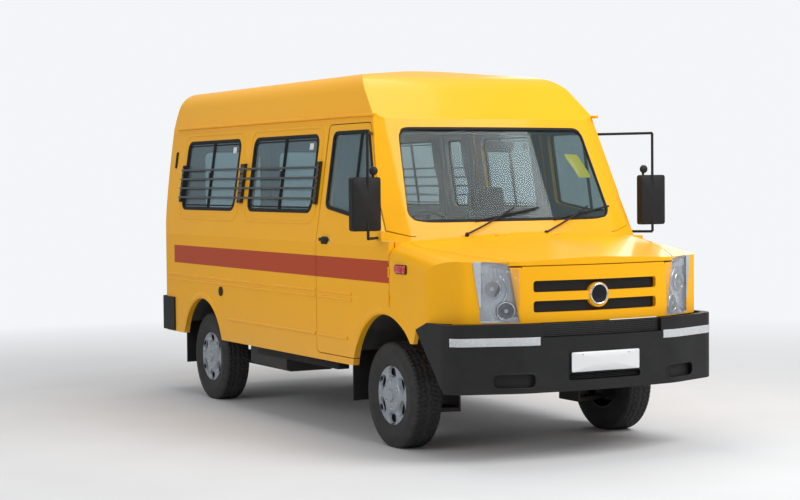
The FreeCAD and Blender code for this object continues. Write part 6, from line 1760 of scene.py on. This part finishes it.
@dataclass
class Studio:
    """Pale floor, soft light and the photograph's camera."""

    place: Tuple[float, float, float] = (11.5033, -6.2536, 1.7227)
    focal_px: float = 1779.755
    width_px: float = 800.0
    yaw: float = 28.2480
    pitch: float = 2.2534
    roll: float = -0.5264
    backdrop: Colour = (0.90, 0.92, 0.94)

    def build(self) -> None:
        """Set up everything that isn't the bus."""
        scene = bpy.context.scene
        scene.view_settings.view_transform = "Standard"
        self.camera(scene)
        self.world(scene)
        self.floor()
        self.lamp("key_softbox", (6.5, 3.0, 6.5), (1.0, 0.0, 1.2), 5.0, 520.0)
        self.lamp("side_softbox", (2.0, -9.0, 4.5), (0.0, 0.0, 1.2), 5.0, 190.0)
        self.lamp("top_softbox", (-1.0, 0.0, 7.0), (0.0, 0.0, 0.0), 5.0, 200.0)
        self.lamp("back_softbox", (-6.0, 7.0, 4.0), (0.0, 0.0, 1.2), 4.0, 120.0)

    def camera(self, scene: bpy.types.Scene) -> None:
        """Camera from the fitted place and angles.

        Its focal length is the pixel length over the picture's width, times the sensor's width.
        """
        yaw, pitch, roll = (math.radians(a) for a in (self.yaw, self.pitch, self.roll))
        ahead = np.array([-math.cos(yaw) * math.cos(pitch), math.sin(yaw) * math.cos(pitch),
                          -math.sin(pitch)])
        right = np.cross(ahead, [0.0, 0.0, 1.0])
        right /= np.linalg.norm(right)
        up = np.cross(right, ahead)
        turned = math.cos(roll) * right + math.sin(roll) * up
        upright = -math.sin(roll) * right + math.cos(roll) * up
        data = bpy.data.cameras.new("photo_camera")
        data.sensor_width = 36.0
        data.lens = self.focal_px / self.width_px * data.sensor_width
        data.clip_end = 200.0
        camera = bpy.data.objects.new("photo_camera", data)
        turn = np.eye(4)
        turn[:3, 0], turn[:3, 1], turn[:3, 2] = turned, upright, -ahead
        turn[:3, 3] = self.place
        camera.matrix_world = Matrix(turn.tolist())
        scene.collection.objects.link(camera)
        scene.camera = camera

    def world(self, scene: bpy.types.Scene) -> None:
        """Even pale surround: the camera sees the backdrop's colour, and what lights is softer."""
        world = bpy.data.worlds.new("studio")
        world.use_nodes = True
        tree = world.node_tree
        tree.nodes.clear()
        out = tree.nodes.new("ShaderNodeOutputWorld")
        path = tree.nodes.new("ShaderNodeLightPath")
        light = tree.nodes.new("ShaderNodeBackground")
        seen = tree.nodes.new("ShaderNodeBackground")
        mixer = tree.nodes.new("ShaderNodeMixShader")
        light.inputs["Color"].default_value = (0.93, 0.96, 1.0, 1.0)
        light.inputs["Strength"].default_value = 0.49
        seen.inputs["Color"].default_value = (*self.backdrop, 1.0)
        seen.inputs["Strength"].default_value = 1.0
        tree.links.new(path.outputs["Is Camera Ray"], mixer.inputs[0])
        tree.links.new(light.outputs[0], mixer.inputs[1])
        tree.links.new(seen.outputs[0], mixer.inputs[2])
        tree.links.new(mixer.outputs[0], out.inputs["Surface"])
        scene.world = world

    def floor(self) -> None:
        """Plain pale floor that fades to the backdrop far out and curves up at its rim."""
        rings, spokes = 41, 96
        r = Recipe("studio_floor")
        vector, x, y, _ = r.place()
        shade = r.mix(r.noise(vector, 1.5, 3.0), (0.66, 0.66, 0.66), (0.72, 0.72, 0.72))
        near = r.shader(Base_Color=shade, Roughness=0.8, Specular_IOR_Level=0.1)
        away = ((x * x + y * y).root() - 3.5) / 6.0
        seen = r.node("ShaderNodeLightPath", output="Is Camera Ray")
        plain = r.node("ShaderNodeEmission", None, {"Color": self.backdrop, "Strength": 1.0})
        material = r.finish(r.node("ShaderNodeMixShader", None,
                                   {0: away.clamped() * seen, 1: near, 2: plain}))
        ring = np.concatenate([[0.0], np.geomspace(1.0, 60.0, rings - 1)])
        angle = np.linspace(0, 2 * math.pi, spokes, endpoint=False)
        rise = np.clip(ring - 30.0, 0, None) ** 2 * 0.004
        grid = np.stack([ring[:, None] * np.cos(angle), ring[:, None] * np.sin(angle),
                         np.broadcast_to(rise[:, None], (rings, spokes))], -1)
        mesh = bpy.data.meshes.new("studio_floor")
        iu, iv = np.arange(rings - 1)[:, None] * spokes, np.arange(spokes)[None]
        ju, jv = iu + spokes, (iv + 1) % spokes
        quads = np.stack([iu + iv, ju + iv, ju + jv, iu + jv], -1)
        mesh.from_pydata(grid.reshape(-1, 3), [], quads.reshape(-1, 4))
        mesh.update()
        mesh.materials.append(material)
        floor = bpy.data.objects.new("studio_floor", mesh)
        bpy.context.scene.collection.objects.link(floor)

    def lamp(self, name: str, place: Sequence[float], target: Sequence[float], size: float,
             power: float) -> None:
        """Square soft light aimed at a point."""
        data = bpy.data.lights.new(name, "AREA")
        data.shape = "SQUARE"
        data.size = size
        data.energy = power
        lamp = bpy.data.objects.new(name, data)
        away = np.asarray(place, float) - np.asarray(target, float)
        away /= np.linalg.norm(away)
        side = np.cross([0.0, 0.0, 1.0], away)
        norm = np.linalg.norm(side)
        side = side / norm if norm > 1e-6 else np.array([1.0, 0.0, 0.0])
        turn = np.eye(4)
        turn[:3, 0], turn[:3, 1], turn[:3, 2], turn[:3, 3] = side, np.cross(away, side), away, place
        lamp.matrix_world = Matrix(turn.tolist())
        bpy.context.scene.collection.objects.link(lamp)


@dataclass
class Bus:
    """The whole vehicle: finishes for CAD nodes, then each sub-assembly."""

    works: Sheetwork = field(default_factory=Sheetwork)
    node_finishes: Dict[str, str] = field(default_factory=lambda: {
        "body_paint": "paint", "floor_metal": "underbody", "lamp_lens": "clear_lens",
        "black_plastic": "black_plastic", "glass": "glass", "chassis_metal": "chassis",
        "engine_metal": "casting", "exhaust_metal": "exhaust", "tyre": "tyre",
        "wheel_silver": "wheel_silver", "tail_lens": "red_lens", "flap_rubber": "rubber",
        "guard_steel": "guard_steel", "dash_plastic": "dash", "wheel_rim_plastic": "soft_black",
        "seat_fabric": "seat_cloth", "seat_steel": "seat_steel", "curtain_cloth": "curtain_cloth"})

    def finishes(self) -> None:
        """Build every finish."""
        add = self.works.add_finish
        add("paint", BodyPaint())
        add("black_plastic", Moulded("grained_black", "black_plastic", (0.0125, 0.0125, 0.013),
                                     (0.034, 0.033, 0.031), 0.52, 900.0, 0.0004, 0.3))
        add("rubber", Moulded("matt_rubber", "flap_rubber", (0.012, 0.012, 0.012),
                              (0.040, 0.039, 0.037), 0.62, 1400.0, 0.0003, 0.3))
        add("soft_black", Moulded("soft_black", "wheel_rim_plastic", (0.020, 0.020, 0.020),
                                  (0.05, 0.05, 0.05), 0.55, 1600.0, 0.0003, 0.2))
        add("dash", Moulded("dash_grain", "dash_plastic", (0.075, 0.078, 0.080), (0.12, 0.12, 0.12),
                            0.60, 1100.0, 0.0004, 0.2))
        add("gloss_black", Moulded("gloss_black", "black_plastic", (0.012, 0.012, 0.013),
                                   (0.03, 0.03, 0.03), 0.16, 300.0, 0.00005, 0.1))
        add("underbody", Moulded("underbody_coat", "floor_metal", (0.040, 0.040, 0.040),
                                 (0.10, 0.09, 0.075), 0.75, 500.0, 0.001, 0.7))
        add("guard_steel", Metal("guard_black", "guard_steel", (0.015, 0.015, 0.016),
                                 (0.05, 0.04, 0.035), 0.0, 0.32, 0.4, 0.2))
        add("chassis", Metal("chassis_black", "chassis_metal", (0.028, 0.028, 0.028),
                             (0.14, 0.09, 0.05), 0.2, 0.55, 0.0, 0.6))
        add("casting", Metal("cast_alloy", "engine_metal", (0.24, 0.24, 0.24), (0.08, 0.06, 0.05),
                             0.6, 0.55, 0.0, 0.7))
        add("exhaust", Metal("exhaust_steel", "exhaust_metal", (0.32, 0.29, 0.26),
                             (0.22, 0.10, 0.04), 0.8, 0.5, 0.0, 0.8))
        add("wheel_silver", Metal("wheel_enamel", "wheel_silver", (0.30, 0.335, 0.375),
                                  (0.16, 0.16, 0.155), 0.45, 0.32, 0.35, 0.3))
        add("chrome", Metal("bright_plating", "lamp_lens", (0.82, 0.84, 0.86), (0.6, 0.6, 0.6), 1.0,
                            0.06, 0.0, 0.05))
        add("lamp_silver", Metal("lamp_housing", "lamp_lens", (0.60, 0.64, 0.70),
                                 (0.42, 0.46, 0.52), 0.45, 0.20, 0.6, 0.3))
        add("mirror_glass", Metal("mirror_silvering", "glass", (0.78, 0.80, 0.82), (0.6, 0.6, 0.6),
                                  1.0, 0.02, 0.0, 0.02))
        add("seat_steel", Metal("seat_frame_black", "seat_steel", (0.045, 0.045, 0.047),
                                (0.10, 0.09, 0.08), 0.0, 0.4, 0.2, 0.3))
        add("plate_white", Metal("plate_enamel", "lamp_lens", (0.74, 0.75, 0.75), (0.5, 0.48, 0.44),
                                 0.0, 0.30, 0.5, 0.12))
        add("sign_yellow", Metal("sign_enamel", "lamp_lens", (0.86, 0.70, 0.03), (0.7, 0.55, 0.05),
                                 0.0, 0.35, 0.3, 0.1))
        add("glass", Glazing())
        # Side glass: the see-through tint is the glass's own; the grey-cyan body at a 0.26 share is
        # painted reflection.
        add("side_glass", Glazing("side_glass", "glass", (0.80, 0.90, 0.92), (0.20, 0.29, 0.32),
                                  0.26, 0.22))
        add("clear_lens", Lens("lamp_cover", "lamp_lens", (0.55, 0.57, 0.60), 700.0, 0.94, 0.04))
        add("clear_plastic", Lens("clear_ribbed", "tail_lens", (0.55, 0.56, 0.57)))
        add("red_lens", Lens("red_ribbed", "tail_lens", (0.42, 0.012, 0.008)))
        add("amber_lens", Lens("amber_ribbed", "tail_lens", (0.75, 0.22, 0.01)))
        # Dark grey for the rings round the lamp bowls and the turn lamp's dots: painted shade.
        add("lamp_painted_shade", Metal("lamp_shadow", "lamp_lens", (0.07, 0.08, 0.095), (0.04, 0.04, 0.05),
                               0.3, 0.3, 0.3, 0.2))
        add("lamp_white", Metal("lamp_diffuser", "lamp_lens", (0.70, 0.72, 0.75), (0.6, 0.6, 0.62),
                                0.0, 0.25, 0.5, 0.15))
        add("wire", Metal("grille_wire", "black_plastic", (0.035, 0.035, 0.034),
                          (0.08, 0.07, 0.06), 0.3, 0.4, 0.0, 0.3))
        add("tape", Reflective())
        add("tyre", TyreRubber())
        add("seat_cloth", Woven("seat_weave", "seat_fabric", (0.10, 0.105, 0.11),
                                (0.19, 0.20, 0.21)))
        add("curtain_cloth", Woven("curtain_weave", "curtain_cloth", (0.27, 0.285, 0.29),
                                   (0.40, 0.415, 0.42), 0.0012, 0.5))

    def dress_nodes(self) -> None:
        """Give every CAD node the finish of its slot."""
        for part in frame["record"]["subparts"]:
            node = frame["nodes"][part["node"]]
            key = self.node_finishes[part["material_slot"]]
            if key == "glass" and part["node"] != "windscreen":
                key = "side_glass"
            material = self.works.finishes[key]
            node.data.materials.clear()
            node.data.materials.append(material)
            LOG.info("%s wears %s", part["node"], material.name)

    def build(self) -> None:
        """Build finishes, nodes and sub-assemblies in order."""
        self.finishes()
        self.dress_nodes()
        for assembly in (Windows, SideTrim, FrontEnd, Wheels, Seating, Curtains, Cabin, RearEnd,
                         Mirrors):
            LOG.info("building %s", assembly.__name__)
            assembly(self.works).build()


def main() -> None:
    """Build the studio and the bus."""
    logging.basicConfig(level=logging.INFO, format="%(name)s %(message)s")
    Studio().build()
    Bus().build()
    bpy.context.view_layer.update()


if __name__ == "__main__":
    main()
